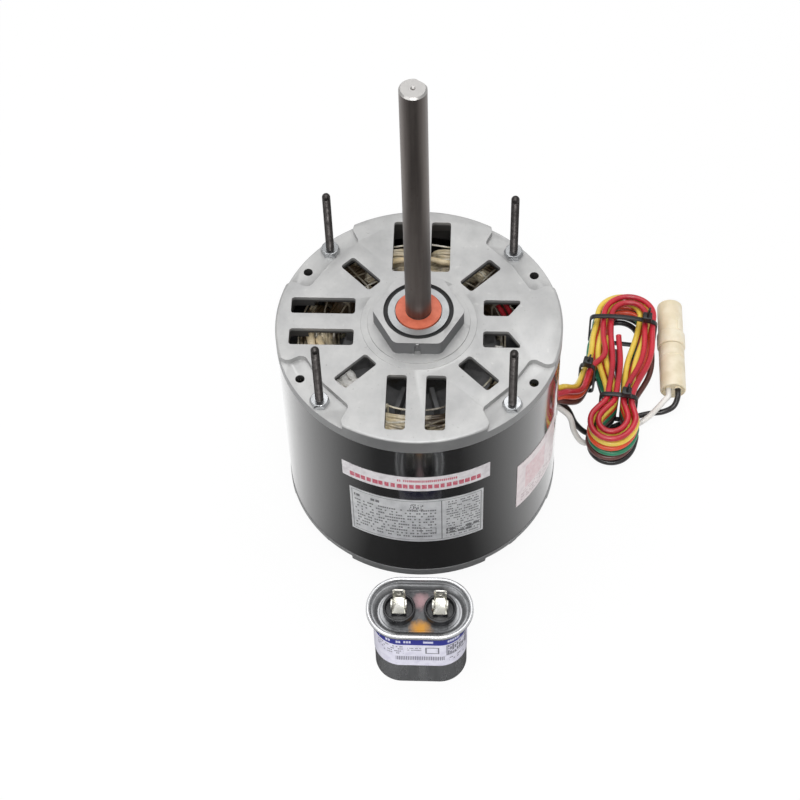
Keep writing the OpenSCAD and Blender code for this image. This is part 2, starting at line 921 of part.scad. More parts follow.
module winding_lacing() {
    r0 = start_r - 5;
    r1 = main_r + 5.6;
    z0 = 1.4;
    z1 = turn_h + 0.4;
    hoop = rounded(box_corners(r0 - lace_t, r1 + lace_t, z0 - lace_t, z1 + lace_t, 2.4), 4);
    hole = rounded(box_corners(r0, r1, z0, z1, 1.4), 4);
    color("#e9e2cc")
        for (end = [-1, 1], i = [0:lace_count - 1])
            translate([0, 0, stack_mid])
                rotate([end < 0 ? 180 : 0, 0, 0])
                    rotate([0, 0, 360 * (i + 0.5) / lace_count])
                        translate([0, lace_t / 2, stack_len / 2])
                            rotate([90, 0, 0])
                                linear_extrude(lace_t)
                                    difference() {
                                        polygon(hoop);
                                        polygon(hole);
                                    }
}

// Protector on the inner end turns, and its two red leads
module thermal_protector() {
    seat = stack_z1 + turn_h - 3;
    body = [7.8, 13.6, 4.6];
    color("#26272a")
        translate([start_r - body.x / 2, -body.y / 2, seat + 0.3])
            linear_extrude(body.z)
                polygon(rounded(box_corners(0, body.x, 0, body.y, 1.2), 4));
    color("#b3262b")
        for (r = [-1.8, 1.8])
            rotate([0, 0, 10.6])
                rotate_extrude(angle = 34)
                    translate([start_r + r, seat + 1.9])
                        circle(d = 2.6);
}

// ---------- labels and grommet ----------

module strip_label() {
    color("#e8e6e4")
        skin_patch(front, strip_span, strip_z, strip_h);
}

module rating_plate() {
    color("#a9abad")
        skin_patch(front, plate_span, plate_z, plate_h);
}

module side_label() {
    color("#e6d6d8")
        skin_patch(side_turn, side_span, side_z, side_h);
}

module lead_grommet() {
    inner_face = sqrt(pow(shell_ir, 2) - pow(flange_r, 2)) - 0.1;
    outer_face = shell_or + 0.1;
    color("#202021")
        rotate([0, 0, exit_turn])
            translate([0, 0, exit_z])
                rotate([0, 90, 0])
                    rotate_extrude()
                        polygon([
                            [grommet_bore / 2, inner_face - 1.8], [flange_r, inner_face - 1.8],
                            [flange_r, inner_face], [grommet_or, inner_face],
                            [grommet_or, outer_face], [flange_r, outer_face],
                            [flange_r, outer_face + flange_t - 0.8],
                            [flange_r - 0.8, outer_face + flange_t],
                            [grommet_bore / 2, outer_face + flange_t]
                        ]);
}

// ---------- leads ----------

// Half width of a loop at the distance v from the near fold's centre line
function half_width(v, far) =
    v < waist_v
        ? waist + (near_fold - waist) * smooth((waist_v - v) / (waist_v - near_fold))
        : waist + (far - waist) * smooth((v - waist_v) / (wide_v - waist_v));

// Point of a loop in the hank's plane at ring q, which counts 24 to a turn
function loop_point(q, shape) =
    let (
        turn = q % rings_per_loop,
        quarter = rings_per_loop / 4,
        leg = floor(turn / quarter),
        x = turn / quarter - leg,
        spread = loop_step * (1 - (q - first_ring) / rings_per_loop),
        far = shape[0],
        far_v = shape[2] - far,
        near_v = near_fold - shape[4],
        along = leg == 0 ? x : 1 - x,
        v = near_v + (far_v - near_v) * pow(along, 1.6),
        side = half_width(v, far) + spread,
        sway = shape[3] * sin(180 * smooth((v - waist_v) / (far_v - waist_v)))
            * (v > waist_v ? 1 : 0)
    )
    leg == 0 ? [sway - side, v]
    : leg == 1 ? [0, far_v] + (far + spread) * [-cos(180 * x), sin(180 * x)]
    : leg == 2 ? [sway + side, v]
    : [0, near_v] + (near_fold + spread) * [cos(180 * x), -sin(180 * x)];

function turned(p, a) = [p.x * cos(a) - p.y * sin(a), p.x * sin(a) + p.y * cos(a)];

function bump(x, reach) = exp(-pow(x / reach, 2));

// The hank rises over the connector's leads, and a little over the strap of its tie
function hank_lift(y) =
    waist_lift * bump(y - hank_origin.y - waist_v, waist_reach)
        + (tie_t + 0.4) * bump(y - hank_origin.y - loop_tie_v, loop_tie_reach);

// The same point in the motor's frame, on the layer of lead k
function hank_point(q, k) =
    let (
        plane = loop_point(q, lead_shape[k]),
        fan = turned(plane - [0, waist_v], lead_shape[k][1]) + [0, waist_v],
        bent = fan + [near_shift * smooth((waist_v - fan.y) / waist_v), 0],
        world = hank_origin + turned(bent, hank_turn)
    )
    [world.x, world.y, layer_z(k, world.y)];

function hank_path(k) =
    [for (i = [0:loops * rings_per_loop]) hank_point(first_ring + i, k)];

// Where lead k crosses the grommet: two columns and three rows
function column(k) = (k % 2) - 0.5;
function row(k) = floor(k / 2) - 1;

function exit_frame(p) =
    [each turned([p.x, p.y], exit_turn), exit_z + p.z];

bundle_pitch = wire_d + 0.6;

function layer_z(k, y) = wire_d / 2 + floor_gap + k * layer_step + hank_lift(y);

// Place of lead k where the group bends down: two columns, three rows
function bend_point(k) =
    let (
        side = [each polar(1, group_bend[1] - 90), 0],
        up = [each polar(sin(group_bend[2]), group_bend[1]), cos(group_bend[2])]
    )
    group_bend[0] + bundle_pitch * (column(k) * side + row(k) * up);

// Place of lead k in the tie: two columns, each lead already on its own layer
function tie_point(k) =
    let (p = group_tie[0] + bundle_pitch * column(k) * [each polar(1, group_tie[1] - 90), 0])
    [p.x, p.y, layer_z(k, p.y)];

function group_points(k) =
    concat(
        [for (p = group_exit)
            exit_frame([p.x + p.y * (row(k) + 1), -grommet_pitch * column(k),
                grommet_pitch * (row(k) + 0.5)])],
        [bend_point(k), tie_point(k), hank_point(first_ring - join_step, k)]);

// Catmull-Rom curve through the points, from point `from` on
function spline_at(p, i, t) =
    let (
        n = len(p) - 1,
        a = p[max(i - 1, 0)],
        b = p[i],
        c = p[min(i + 1, n)],
        d = p[min(i + 2, n)]
    )
    0.5 * (2 * b + (c - a) * t + (2 * a - 5 * b + 4 * c - d) * t * t
        + (3 * b - a - 3 * c + d) * t * t * t);

function spline(p, first, last, steps) =
    [for (i = [first:last - 1], s = [0:steps - 1]) spline_at(p, i, s / steps)];

function lead_route(k) =
    let (hank = hank_path(k), knots = concat(group_points(k), [hank[0], hank[1]]))
    concat([knots[0], knots[1], knots[2]], spline(knots, 3, 7, 4));

function lead_path(k) = concat(lead_route(k), hank_path(k));

// Least gap between a tube and itself, from its points to its far segments
function to_segment(p, a, b) =
    let (ab = b - a, t = max(0, min(1, (p - a) * ab / (ab * ab))))
    norm(p - a - ab * t);

function least_gap(path, d, apart) =
    min([for (i = [0:len(path) - 1], j = [0:len(path) - 2])
        if (abs(i - j) > apart && abs(i - j - 1) > apart)
            to_segment(path[i], path[j], path[j + 1])]) - d;

// Tube along part of a path, rings square to the path
module tube(path, first, last, d, sides) {
    n = len(path) - 1;
    rings = [for (i = [first:last])
        let (
            t = unit(path[min(i + 1, n)] - path[max(i - 1, 0)]),
            across = unit(cross([0, 0, 1], t)),
            up = cross(t, across)
        )
        [for (j = [0:sides - 1])
            path[i] + d / 2 * (across * cos(360 * (j + 0.5) / sides)
                + up * sin(360 * (j + 0.5) / sides))]];
    count = last - first;
    polyhedron(
        points = [for (r = rings) each r],
        faces = concat(
            [for (j = [1:sides - 2]) [0, j, j + 1]],
            [for (j = [1:sides - 2])
                [count * sides, count * sides + j + 1, count * sides + j]],
            [for (i = [0:count - 1], j = [0:sides - 1])
                let (a = i * sides + j, b = i * sides + (j + 1) % sides)
                each [[a, a + sides, b], [b, a + sides, b + sides]]]));
}

module lead(k) {
    path = lead_path(k);
    color(lead_tint[k])
        tube(path, 0, len(lead_route(k)), wire_d, 8);
}

module hank(k) {
    path = lead_path(k);
    echo(str("hank ", lead_names[k], " least gap ", least_gap(hank_path(k), wire_d, 3)));
    color(lead_tint[k])
        tube(path, len(lead_route(k)), len(path) - 1, wire_d, 6);
}

module lead_black() { lead(0); }
module lead_brown() { lead(1); }
module lead_red() { lead(5); }
module lead_orange() { lead(3); }
module lead_green() { lead(2); }
module lead_yellow() { lead(4); }
module hank_black() { hank(0); }
module hank_brown() { hank(1); }
module hank_red() { hank(5); }
module hank_orange() { hank(3); }
module hank_green() { hank(2); }
module hank_yellow() { hank(4); }

// The connector's two leads: along the grommet, over the floor, into the housing
function plug_path(side, route) =
    let (
        knots = concat(
            [for (p = group_exit)
                exit_frame([p.x - p.y, grommet_pitch * side / 2, -1.5 * grommet_pitch])],
            route,
            [[plug_near.x + side * contact_pitch / 2, plug_near.y - 3, plug_axis_z],
                [plug_near.x + side * contact_pitch / 2, plug_near.y + lead_entry, plug_axis_z]])
    )
    concat([knots[0], knots[1], knots[2]], spline(knots, 3, len(knots) - 2, 2),
        [knots[len(knots) - 2], knots[len(knots) - 1]]);

module plug_lead_white() {
    path = plug_path(-1, white_route);
    color("#e4e2df")
        tube(path, 0, len(path) - 1, wire_d, 8);
}

module plug_lead_black() {
    path = plug_path(1, black_route);
    color("#1d1b1c")
        tube(path, 0, len(path) - 1, wire_d, 8);
}

// Cable tie standing across a bundle: strap w by h inside, with its head and tail.
// The bundle runs along Y and the strap's lowest inner point is at z = 0.
module tie(w, h, head_x, tail) {
    round_r = 2;
    translate([0, tie_w / 2, 0])
        rotate([90, 0, 0])
            linear_extrude(tie_w)
                difference() {
                    polygon(rounded(box_corners(-w / 2 - tie_t, w / 2 + tie_t, -tie_t, h + tie_t,
                        round_r + tie_t), 6));
                    polygon(rounded(box_corners(-w / 2, w / 2, 0, h, round_r), 6));
                }
    translate([head_x, 0, h + tie_t - 0.4]) {
        translate([-2.6, -2.4, 0])
            cube([5.2, 4.8, 4.4]);
        translate([-tie_t / 2, -tie_w / 2, 4])
            cube([tie_t, tie_w, tail]);
    }
}

module at_hank(u, v) {
    place = hank_origin + turned([u, v], hank_turn);
    translate([place.x, place.y, 0])
        rotate([0, 0, hank_turn])
            children();
}

hank_h = (len(lead_names) - 1) * layer_step + wire_d;
tie_tint = "#1a1b1c";

tie_slack = 0.6;

module hank_tie() {
    color(tie_tint)
        at_hank(0.5, waist_v)
            translate([0, 0, waist_lift + floor_gap - 0.75 * tie_slack])
                tie(20.2, hank_h + 1.5 * tie_slack, 4, 5);
}

module loop_tie() {
    color(tie_tint)
        at_hank(-1.2, loop_tie_v)
            translate([0, 0, floor_gap + tie_t])
                tie(37, hank_h + 2 * tie_slack, 13, 6);
}

module lead_tie() {
    lift = hank_lift(group_tie[0].y + wire_d);
    color(tie_tint)
        translate([group_tie[0].x, group_tie[0].y, floor_gap + lift - tie_slack])
            rotate([0, 0, group_tie[1] - 90])
                tie(bundle_pitch + wire_d + 2 * tie_slack, hank_h + 2.5 * tie_slack, 0, 4);
}

// ---------- connector ----------

module along_y(y0) {
    translate([plug_near.x, y0, plug_axis_z])
        rotate([-90, 0, 0])
            children();
}

contact_sides = [-1, 1];

module plug_housing() {
    nose = nose_len;
    color("#e2d8c0")
        along_y(plug_near.y)
            difference() {
                union() {
                    cylinder(r = plug_r, h = plug_len);
                    translate([0, 0, plug_len])
                        cylinder(d = nose_d, h = nose);
                }
                for (side = contact_sides)
                    translate([side * contact_pitch / 2, 0, -cut])
                        cylinder(d = wire_d + 0.4, h = plug_len + nose + 2 * cut);
            }
}

module plug_sockets() {
    wall = 0.5;
    color("#c9a24a")
        along_y(plug_near.y + lead_entry)
            for (side = contact_sides)
                translate([side * contact_pitch / 2, 0, 0])
                    difference() {
                        cylinder(d = wire_d + 0.3, h = plug_len + nose_len - lead_entry - 1);
                        translate([0, 0, 6])
                            cylinder(d = pin_d + 2 * pin_fit, h = plug_len + nose_len);
                    }
}

module cap_housing() {
    wall_end = 6;
    color("#e2d8c0")
        along_y(joint_y + 0.15)
            difference() {
                union() {
                    cylinder(r = collar_r, h = collar_len);
                    cylinder(r = plug_r - 0.1, h = cap_half_len);
                }
                translate([0, 0, -cut])
                    cylinder(d = nose_d + 2 * nose_fit, h = nose_len + cut + 0.3);
                for (side = contact_sides)
                    translate([side * contact_pitch / 2, 0, 0])
                        cylinder(d = pin_d + 0.02, h = cap_half_len - wall_end);
            }
}

module cap_pins() {
    color("#c9a24a")
        along_y(joint_y + 0.15)
            for (side = contact_sides)
                translate([side * contact_pitch / 2, 0, -6])
                    cylinder(d = pin_d, h = cap_half_len - 1);
}

// ---------- capacitor ----------

module at_can() {
    translate([can_x, can_y, 0])
        children();
}

module can_profile(inset) {
    stadium(can_w - 2 * inset, can_d - 2 * inset);
}

// Drawn can with a rolled rim
module capacitor_can() {
    color("#8f9193")
        at_can() {
            difference() {
                union() {
                    linear_extrude(can_h - rim_roll)
                        can_profile(0);
                    translate([0, 0, can_h - rim_roll])
                        linear_extrude(rim_roll)
                            can_profile(-rim_out);
                }
                translate([0, 0, can_wall])
                    linear_extrude(can_h)
                        can_profile(can_wall);
                translate([0, 0, can_h - 0.01])
                    linear_extrude(cut)
                        can_profile(0);
            }
        }
}

module capacitor_lid() {
    color("#a5a7a9")
        at_can()
            translate([0, 0, lid_z - lid_t])
                linear_extrude(lid_t)
                    can_profile(can_wall + part_fit);
}

module capacitor_cups() {
    color("#19191a")
        at_can()
            for (side = [-1, 1])
                translate([side * terminal_pitch / 2, 0, lid_z]) {
                    ring(terminal_cup_d / 2 - 1.2, terminal_cup_d / 2, 0, 4);
                    cylinder(d = terminal_cup_d, h = 1.6);
                    cylinder(d = 6, h = 3);
                }
}

// Spade terminals: a tall blade with its hole, two short side blades on one foot
module capacitor_terminals() {
    blade_w = 6.35;
    blade_t = 0.8;
    foot = [8, 7, 0.9];
    color("#d4d2c6")
        at_can()
            for (side = [-1, 1])
                translate([side * terminal_pitch / 2, 0, lid_z + 3]) {
                    translate([-foot.x / 2, -foot.y / 2, 0])
                        cube(foot);
                    translate([0, foot.y / 2, foot.z / 2])
                        difference() {
                            translate([-blade_w / 2, -blade_t, 0])
                                cube([blade_w, blade_t, blade_top - 3 - foot.z / 2]);
                            translate([0, cut, blade_top - 7])
                                rotate([90, 0, 0])
                                    cylinder(d = 1.7, h = 3);
                        }
                    for (end = [-1, 1])
                        translate([end * (foot.x / 2 - blade_t / 2) - blade_t / 2,
                                -foot.y / 2, foot.z / 2])
                            cube([blade_t, 5, 8]);
                }
}

module capacitor_label() {
    color("#dcdaea")
        at_can()
            translate([0, 0, can_h - rim_roll - label_gap - can_label_h])
                linear_extrude(can_label_h)
                    difference() {
                        can_profile(-label_t - glue_t);
                        can_profile(-glue_t);
                    }
}

module capacitor_element() {
    color("#cfc7ad")
        at_can()
            translate([0, 0, can_wall + 0.3])
                linear_extrude(lid_z - lid_t - can_wall - 0.6)
                    can_profile(can_wall + 1.5);
}

shell();
top_end_shield();
bottom_end_shield();
stator_core();
slot_liners();
main_winding();
start_winding();
winding_lacing();
thermal_protector();
through_bolts();
stud_nuts();
top_rubber_ring();
bottom_rubber_ring();
top_bearing_cup();
bottom_bearing_cup();
top_felt_wick();
bottom_felt_wick();
top_sleeve_bearing();
bottom_sleeve_bearing();
top_bearing_spring();
bottom_bearing_spring();
bore_plug();
shaft();
rotor_core();
rotor_cage();
shaft_slinger();
thrust_washers();
retaining_rings();
strip_label();
rating_plate();
side_label();
lead_grommet();
lead_black();
lead_brown();
lead_red();
lead_orange();
lead_green();
lead_yellow();
hank_black();
hank_brown();
hank_red();
hank_orange();
hank_green();
hank_yellow();
plug_lead_white();
plug_lead_black();
hank_tie();
loop_tie();
lead_tie();
plug_housing();
plug_sockets();
cap_housing();
cap_pins();
capacitor_can();
capacitor_lid();
capacitor_cups();
capacitor_terminals();
capacitor_label();
capacitor_element();
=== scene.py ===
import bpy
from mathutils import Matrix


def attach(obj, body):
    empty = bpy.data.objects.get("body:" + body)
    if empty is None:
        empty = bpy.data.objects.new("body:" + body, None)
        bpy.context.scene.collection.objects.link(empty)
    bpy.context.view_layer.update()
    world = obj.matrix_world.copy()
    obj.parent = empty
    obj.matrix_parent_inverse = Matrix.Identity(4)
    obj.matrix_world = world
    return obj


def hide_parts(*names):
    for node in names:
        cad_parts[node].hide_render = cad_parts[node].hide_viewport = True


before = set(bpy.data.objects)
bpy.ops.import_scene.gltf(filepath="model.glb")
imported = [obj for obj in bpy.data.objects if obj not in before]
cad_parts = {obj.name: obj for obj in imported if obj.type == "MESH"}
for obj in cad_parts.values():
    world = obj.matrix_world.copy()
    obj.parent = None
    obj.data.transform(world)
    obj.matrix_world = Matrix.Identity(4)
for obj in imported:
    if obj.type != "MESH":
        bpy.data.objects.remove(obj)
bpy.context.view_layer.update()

import math
import random

import bmesh
import bpy
from mathutils import Matrix, Vector

# Lengths below are millimetres, as in the part's source, and MM turns them into metres.
MM = 0.001
TAU = 2 * math.pi
scene = bpy.context.scene


def placed(name, data):
    """An object of the scene."""
    made = bpy.data.objects.new(name, data)
    scene.collection.objects.link(made)
    return made


# ---------- camera ----------

CAMERA_PLACE = Vector((32.673, -623.807, 978.18))
CAMERA_AIM = Vector((-0.039456, 0.565185, -0.824020))
CAMERA_ROLL = math.radians(-2.28)
CAMERA_LENS = 95.04
CAMERA_SENSOR = 36


def make_camera():
    data = bpy.data.cameras.new("camera")
    data.sensor_width = CAMERA_SENSOR
    data.lens = CAMERA_LENS
    level = CAMERA_AIM.cross(Vector((0, 0, 1))).normalized()
    over = level.cross(CAMERA_AIM)
    right = math.cos(CAMERA_ROLL) * level + math.sin(CAMERA_ROLL) * over
    up = math.cos(CAMERA_ROLL) * over - math.sin(CAMERA_ROLL) * level
    turn = Matrix((right, up, -CAMERA_AIM)).transposed().to_4x4()
    scene.camera = placed("camera", data)
    scene.camera.matrix_world = Matrix.Translation(CAMERA_PLACE * MM) @ turn


make_camera()


# ---------- material toolkit ----------


def hue(code):
    """Linear colour of a hexadecimal code."""
    parts = [int(code[i:i + 2], 16) / 255 for i in (1, 3, 5)]
    return tuple(((p + 0.055) / 1.055) ** 2.4 if p > 0.04045 else p / 12.92 for p in parts) + (1.0,)


def operator(operation):
    return lambda wire, other: wire.math(operation, other)


class Wire:
    """One output of a node. Sums on it add Math nodes."""

    def __init__(self, nodes, socket):
        self.nodes = nodes
        self.socket = socket

    def math(self, operation, *others):
        return self.nodes.node("Math", {"operation": operation}, [self, *others])

    def __rsub__(self, other):
        return self.nodes.node("Math", {"operation": "SUBTRACT"}, [other, self])

    def __abs__(self):
        return self.math("ABSOLUTE")

    __add__ = __radd__ = operator("ADD")
    __sub__ = operator("SUBTRACT")
    __mul__ = __rmul__ = operator("MULTIPLY")
    __truediv__ = operator("DIVIDE")
    __pow__ = operator("POWER")
    __gt__ = operator("GREATER_THAN")
    __lt__ = operator("LESS_THAN")


class Nodes:
    """The node tree of a material or a world."""

    def __init__(self, owner):
        owner.use_nodes = True
        self.tree = owner.node_tree
        self.tree.nodes.clear()

    def node(self, kind, settings=None, inputs=(), output=0):
        made = self.tree.nodes.new("ShaderNode" + kind)
        for key, value in (settings or {}).items():
            setattr(made, key, value)
        pairs = inputs.items() if isinstance(inputs, dict) else enumerate(inputs)
        for key, value in pairs:
            if isinstance(value, Wire):
                self.tree.links.new(value.socket, made.inputs[key])
            else:
                made.inputs[key].default_value = value
        return Wire(self, made.outputs[output]) if len(made.outputs) else None

    def outputs(self, kind, names, inputs=()):
        """Several outputs of one node."""
        sockets = self.node(kind, inputs=inputs).socket.node.outputs
        return [Wire(self, sockets[name]) for name in names]


class Finish(Nodes):
    """A material. Its patterns lie in the object's own coordinates."""

    def __init__(self, name):
        self.material = bpy.data.materials.new(name)
        super().__init__(self.material)
        self.place = self.node("TexCoord", output="Object")

    def axes(self, names="XYZ"):
        """Object coordinates in millimetres."""
        return [axis / MM for axis in self.outputs("SeparateXYZ", names, [self.place])]

    def noise(self, size, detail=3.0, stretch=(1, 1, 1), roughness=0.55):
        """Cloudy noise from 0 to 1 whose features are about size millimetres across."""
        place = self.node("VectorMath", {"operation": "MULTIPLY"}, [self.place, stretch])
        return self.node("TexNoise", inputs={"Vector": place, "Scale": 1 / (size * MM),
                                             "Detail": detail, "Roughness": roughness})

    def cells(self, size):
        """Distance from the middles of cells about size millimetres across."""
        return self.node("TexVoronoi", inputs={"Vector": self.place, "Scale": 1 / (size * MM)},
                         output="Distance")

    def span(self, value, low, high, new_low=0.0, new_high=1.0):
        """Value from low..high brought to new_low..new_high, and held there."""
        return self.node("MapRange", inputs=[value, low, high, new_low, new_high])

    def vary(self, noise, low, high):
        """From low to high over most of a noise's own range."""
        return self.span(noise, 0.3, 0.7, low, high)

    def mix(self, factor, first, second):
        """Mix of two colours, each a hexadecimal code or a wire."""
        pair = [hue(colour) if isinstance(colour, str) else colour for colour in (first, second)]
        return self.node("Mix", {"data_type": "RGBA"}, {0: factor, 6: pair[0], 7: pair[1]}, 2)

    def patchy(self, noise, low, high, light, dark, smoother, rougher):
        """Colour and roughness that follow one noise."""
        return self.mix(self.span(noise, low, high), light, dark), self.vary(noise, smoother, rougher)

    def surface(self, colour, roughness, relief=None, **others):
        """Ends the material. Relief is a height from 0 to 1 and the millimetres it stands for.
        In the names of other sockets _ stands for a space."""
        values = {key.replace("_", " "): value for key, value in others.items()}
        if relief:
            height, size = relief
            values["Normal"] = self.node("Bump", inputs={"Height": height, "Distance": size * MM})
        values |= {"Base Color": colour, "Roughness": roughness}
        self.node("OutputMaterial", inputs=[self.node("BsdfPrincipled", inputs=values)])
        return self.material


def distance(x, y):
    """Distance from the origin."""
    return (x * x + y * y).math("SQRT")


# ---------- finishes ----------

# Radius and directions of the shell's labels
SHELL_OR = 71.4
FRONT = -90
SIDE_LABEL_TURN = -29.5
# Ink's lower and upper edge in its row, as a share of the row
INK_ROW = (0.3, 0.75)
TALL_INK = (0.1, 0.9)
FULL_INK = (0.0, 1.0)


def block(u, v, left, right, low, high):
    """1 inside a rectangle of a label. u runs along the label and v up it."""
    return (u > left) * (u < right) * (v > low) * (v < high)


def outline(u, v, left, right, low, high, width):
    """The border of a rectangle."""
    outer = block(u, v, left, right, low, high)
    return outer - block(u, v, left + width, right - width, low + width, high - width)


def dashes(f, u, v, box, row, dash, share, ink=INK_ROW, filled=0.7):
    """Ruled rows of plain dashes of uneven length in a box, in place of small print."""
    low = box[2]
    line = (v - low) / row
    across = u / dash
    grid = f.node("CombineXYZ", inputs=[across.math("FLOOR"), line.math("FLOOR"), 0.0])
    chance = f.node("TexWhiteNoise", {"noise_dimensions": "3D"}, {"Vector": grid})
    height = line.math("FRACT")
    inked = (height > ink[0]) * (height < ink[1]) * (across.math("FRACT") < chance * 0.25 + filled)
    return (chance < share) * inked * block(u, v, *box)


def print_rows(f, u, v, *rows):
    """Sum of several boxes of dashes."""
    return sum(dashes(f, u, v, *row) for row in rows)


def around_shell(f, turn):
    """Distance along the shell from the given direction, and height."""
    x, y, z = f.axes()
    angle = y.math("ARCTAN2", x) - math.radians(turn)
    return angle * SHELL_OR, z


def strip_print():
    """Pale strip with a row of red blocks and small red dashes above it."""
    f = Finish("strip_label")
    u, v = around_shell(f, FRONT)
    paper, rough = f.patchy(f.noise(3, 4), 0.4, 0.7, "#d3d0d2", "#bfbabd", 0.32, 0.46)
    rows = print_rows(f, u, v, ((-34, 34, 95.0, 100.2), 5.2, 3.1, 0.97, (0.1, 0.8), 0.66),
                      ((-9, 21, 100.9, 103.7), 2.8, 1.0, 0.85, (0.15, 0.85), 0.6))
    red = rows * f.span(f.noise(0.9, 2), 0.25, 0.5, 0.5, 1)
    return f.surface(f.mix(red.math("MINIMUM", 1.0), paper, "#b4485c"), rough,
                     Coat_Weight=0.4, Coat_Roughness=0.2)


def rating_print():
    """Silvered plate with ruled rows of dashes, a divider and blank boxes."""
    f = Finish("rating_plate")
    u, v = around_shell(f, FRONT)
    brush = f.noise(0.6, 3, (1, 1, 0.08))
    plain = f.mix(f.span(f.noise(5, 4), 0.35, 0.7), "#d4d5d6", "#b9babc")
    brushed = f.mix(f.vary(brush, 0, 0.3), plain, "#e2e3e4")
    rows = print_rows(f, u, v, ((-32.5, 10, 48.5, 76), 2.75, 1.15, 0.62),
                      ((-32.5, -17, 77, 81.4), 4.4, 2.6, 0.75, (0.2, 0.7)),
                      ((15, 33, 47.5, 82), 2.3, 0.9, 0.6),
                      ((15, 33, 50, 56), 3.0, 4.2, 0.7, (0.2, 0.85)),
                      ((-3.4, 3.6, 75, 81), 0.75, 0.75, 0.5, FULL_INK))
    border = outline(u, v, -33.8, 33.8, 46.2, 83.4, 0.35)
    divider = block(u, v, 12.6, 13.1, 46.2, 83.4)
    box = outline(u, v, 2, 10, 53, 58, 0.4)
    ink = (rows + border + divider + box).math("MINIMUM", 1.0)
    return f.surface(f.mix(ink * 0.82, brushed, "#2a2b2e"), f.vary(brush, 0.34, 0.5),
                     Metallic=f.span(ink, 0, 1, 0.3, 0.0))


def side_print():
    """Pale pink sticker with a plain red block and ruled dashes."""
    f = Finish("side_label")
    u, v = around_shell(f, SIDE_LABEL_TURN)
    paper, rough = f.patchy(f.noise(4, 3), 0.4, 0.7, "#e6dcdd", "#d9cdd0", 0.35, 0.5)
    panel = block(u, v, -13, 5, 58, 78) * f.span(f.noise(1.4, 3), 0.3, 0.6, 0.15, 0.5)
    lines = dashes(f, u, v, (-16, 16, 48, 56.6), 2.4, 1.3, 0.55) * 0.55
    tone = f.mix(panel * 0.7, paper, "#cf7d88")
    return f.surface(f.mix(lines, tone, "#7d5d63"), rough, Coat_Weight=0.3, Coat_Roughness=0.25)


# Middle of the capacitor, and its can: end radius, half its flat side and height
CAN_X = 2.8
CAN_Y = -114.6
CAN_R = 14.0
CAN_STRETCH = 9.5
CAN_H = 54.0
BAND_LOW = 40.4


def capacitor_print():
    """Pale label: blue band with white dashes, dark dashes, a ruled bar row and a dotted block."""
    f = Finish("capacitor_label")
    x, z = f.axes("XZ")
    u = x - CAN_X
    paper, rough = f.patchy(f.noise(4, 3), 0.4, 0.7, "#e4e3f0", "#d3d1e2", 0.3, 0.42)
    band = z > BAND_LOW
    white = print_rows(f, u, z, ((-20, -4, 42, 44.8), 2.8, 1.3, 0.75, TALL_INK),
                       ((14, 20, 42, 44.8), 2.8, 1.1, 0.7, TALL_INK)) + block(u, z, 2, 7, 42.4, 44.4)
    dark = print_rows(f, u, z, ((-21, -8, 30.4, 39.4), 2.25, 0.9, 0.6),
                      ((-6, 1, 34, 38), 2.0, 0.7, 0.7),
                      ((14, 22.6, 29.6, 39.2), 1.1, 1.1, 0.55, FULL_INK),
                      ((15, 22, 22.6, 27), 2.1, 0.9, 0.6))
    boxes = outline(u, z, 3, 10, 31.6, 38, 0.7) + outline(u, z, 13.6, 23, 29.2, 39.6, 0.5)
    bars = block(u, z, -12, 13, 24.6, 28.6) * ((u / 0.9).math("FRACT") > 0.42)
    ink = (dark + boxes + bars).math("MINIMUM", 1.0) * (z < BAND_LOW - 0.2)
    tone = f.mix(ink * 0.8, paper, "#3a3a48")
    tone = f.mix(band, tone, "#2c3190")
    tone = f.mix((white * band).math("MINIMUM", 1.0) * 0.85, tone, "#dfe0f2")
    return f.surface(tone, rough, Coat_Weight=0.3, Coat_Roughness=0.2)


def rolled_can():
    """Drawn aluminium can: a streaked wall, a painted highlight on the rolled bead and painted shade in the
    groove inside it.
    """
    f = Finish("can_aluminium")
    x, y, z = f.axes()
    past_flat = (abs(x - CAN_X) - CAN_STRETCH).math("MAXIMUM", 0.0)
    out = distance(past_flat, y - CAN_Y)
    wall, rough = f.patchy(f.noise(8, 4, (1, 1, 0.1)), 0.3, 0.7, "#a4a5a7", "#808183", 0.2, 0.34)
    top = z > CAN_H - 4.2
    # painted highlight on the rolled bead, and painted shade in the groove that is weaker towards the ends
    bead = f.span(out, CAN_R + 1.3, CAN_R + 1.7) * f.span(z, CAN_H - 1.9, CAN_H - 1.3)
    ends = f.span(abs(x - CAN_X) + (f.noise(1.2, 4) - 0.5) * 4, 11, 16)
    groove = f.span(out, CAN_R + 0.9, CAN_R + 1.4, 1, 0) * top * (1 - ends * 0.8)
    tone = f.mix(bead, wall, "#dcdddf")
    return f.surface(f.mix(groove * 0.85, tone, "#2f3032"), rough, (f.noise(0.4, 2), 0.005),
                     Metallic=0.7 - groove * 0.4)


def lid_plate():
    """Steel lid with a drop of amber varnish at the front and a pink stain behind."""
    f = Finish("lid_plate")
    x, y = f.axes("XY")
    grain = f.noise(1.2, 4)
    steel = f.mix(f.vary(f.noise(7, 3), 0, 1), "#3c3d3f", "#67686a")
    tone = f.mix(f.span(grain, 0.5, 0.8, 0, 0.4), steel, "#939497")
    ends = f.span(abs(x - CAN_X) + (grain - 0.5) * 5, 14, 19)
    tone = f.mix(ends * 0.8, tone, "#c4c5c7")
    ragged = (f.noise(2.2, 3) - 0.5) * 4
    front = distance(x - CAN_X - 0.6, y - CAN_Y + 10)
    back = distance(x - CAN_X - 0.4, (y - CAN_Y - 6) / 1.3)
    amber = f.span(front + ragged, 1.6, 6.2, 1, 0)
    pink = f.span(back + ragged, 1.2, 4.6, 0.6, 0)
    tone = f.mix(amber, f.mix(pink, tone, "#c79a9f"), "#c08414")
    return f.surface(tone, f.vary(grain, 0.28, 0.46), (grain, 0.03),
                     Metallic=f.span(amber + pink, 0, 0.6, 0.7, 0.0))


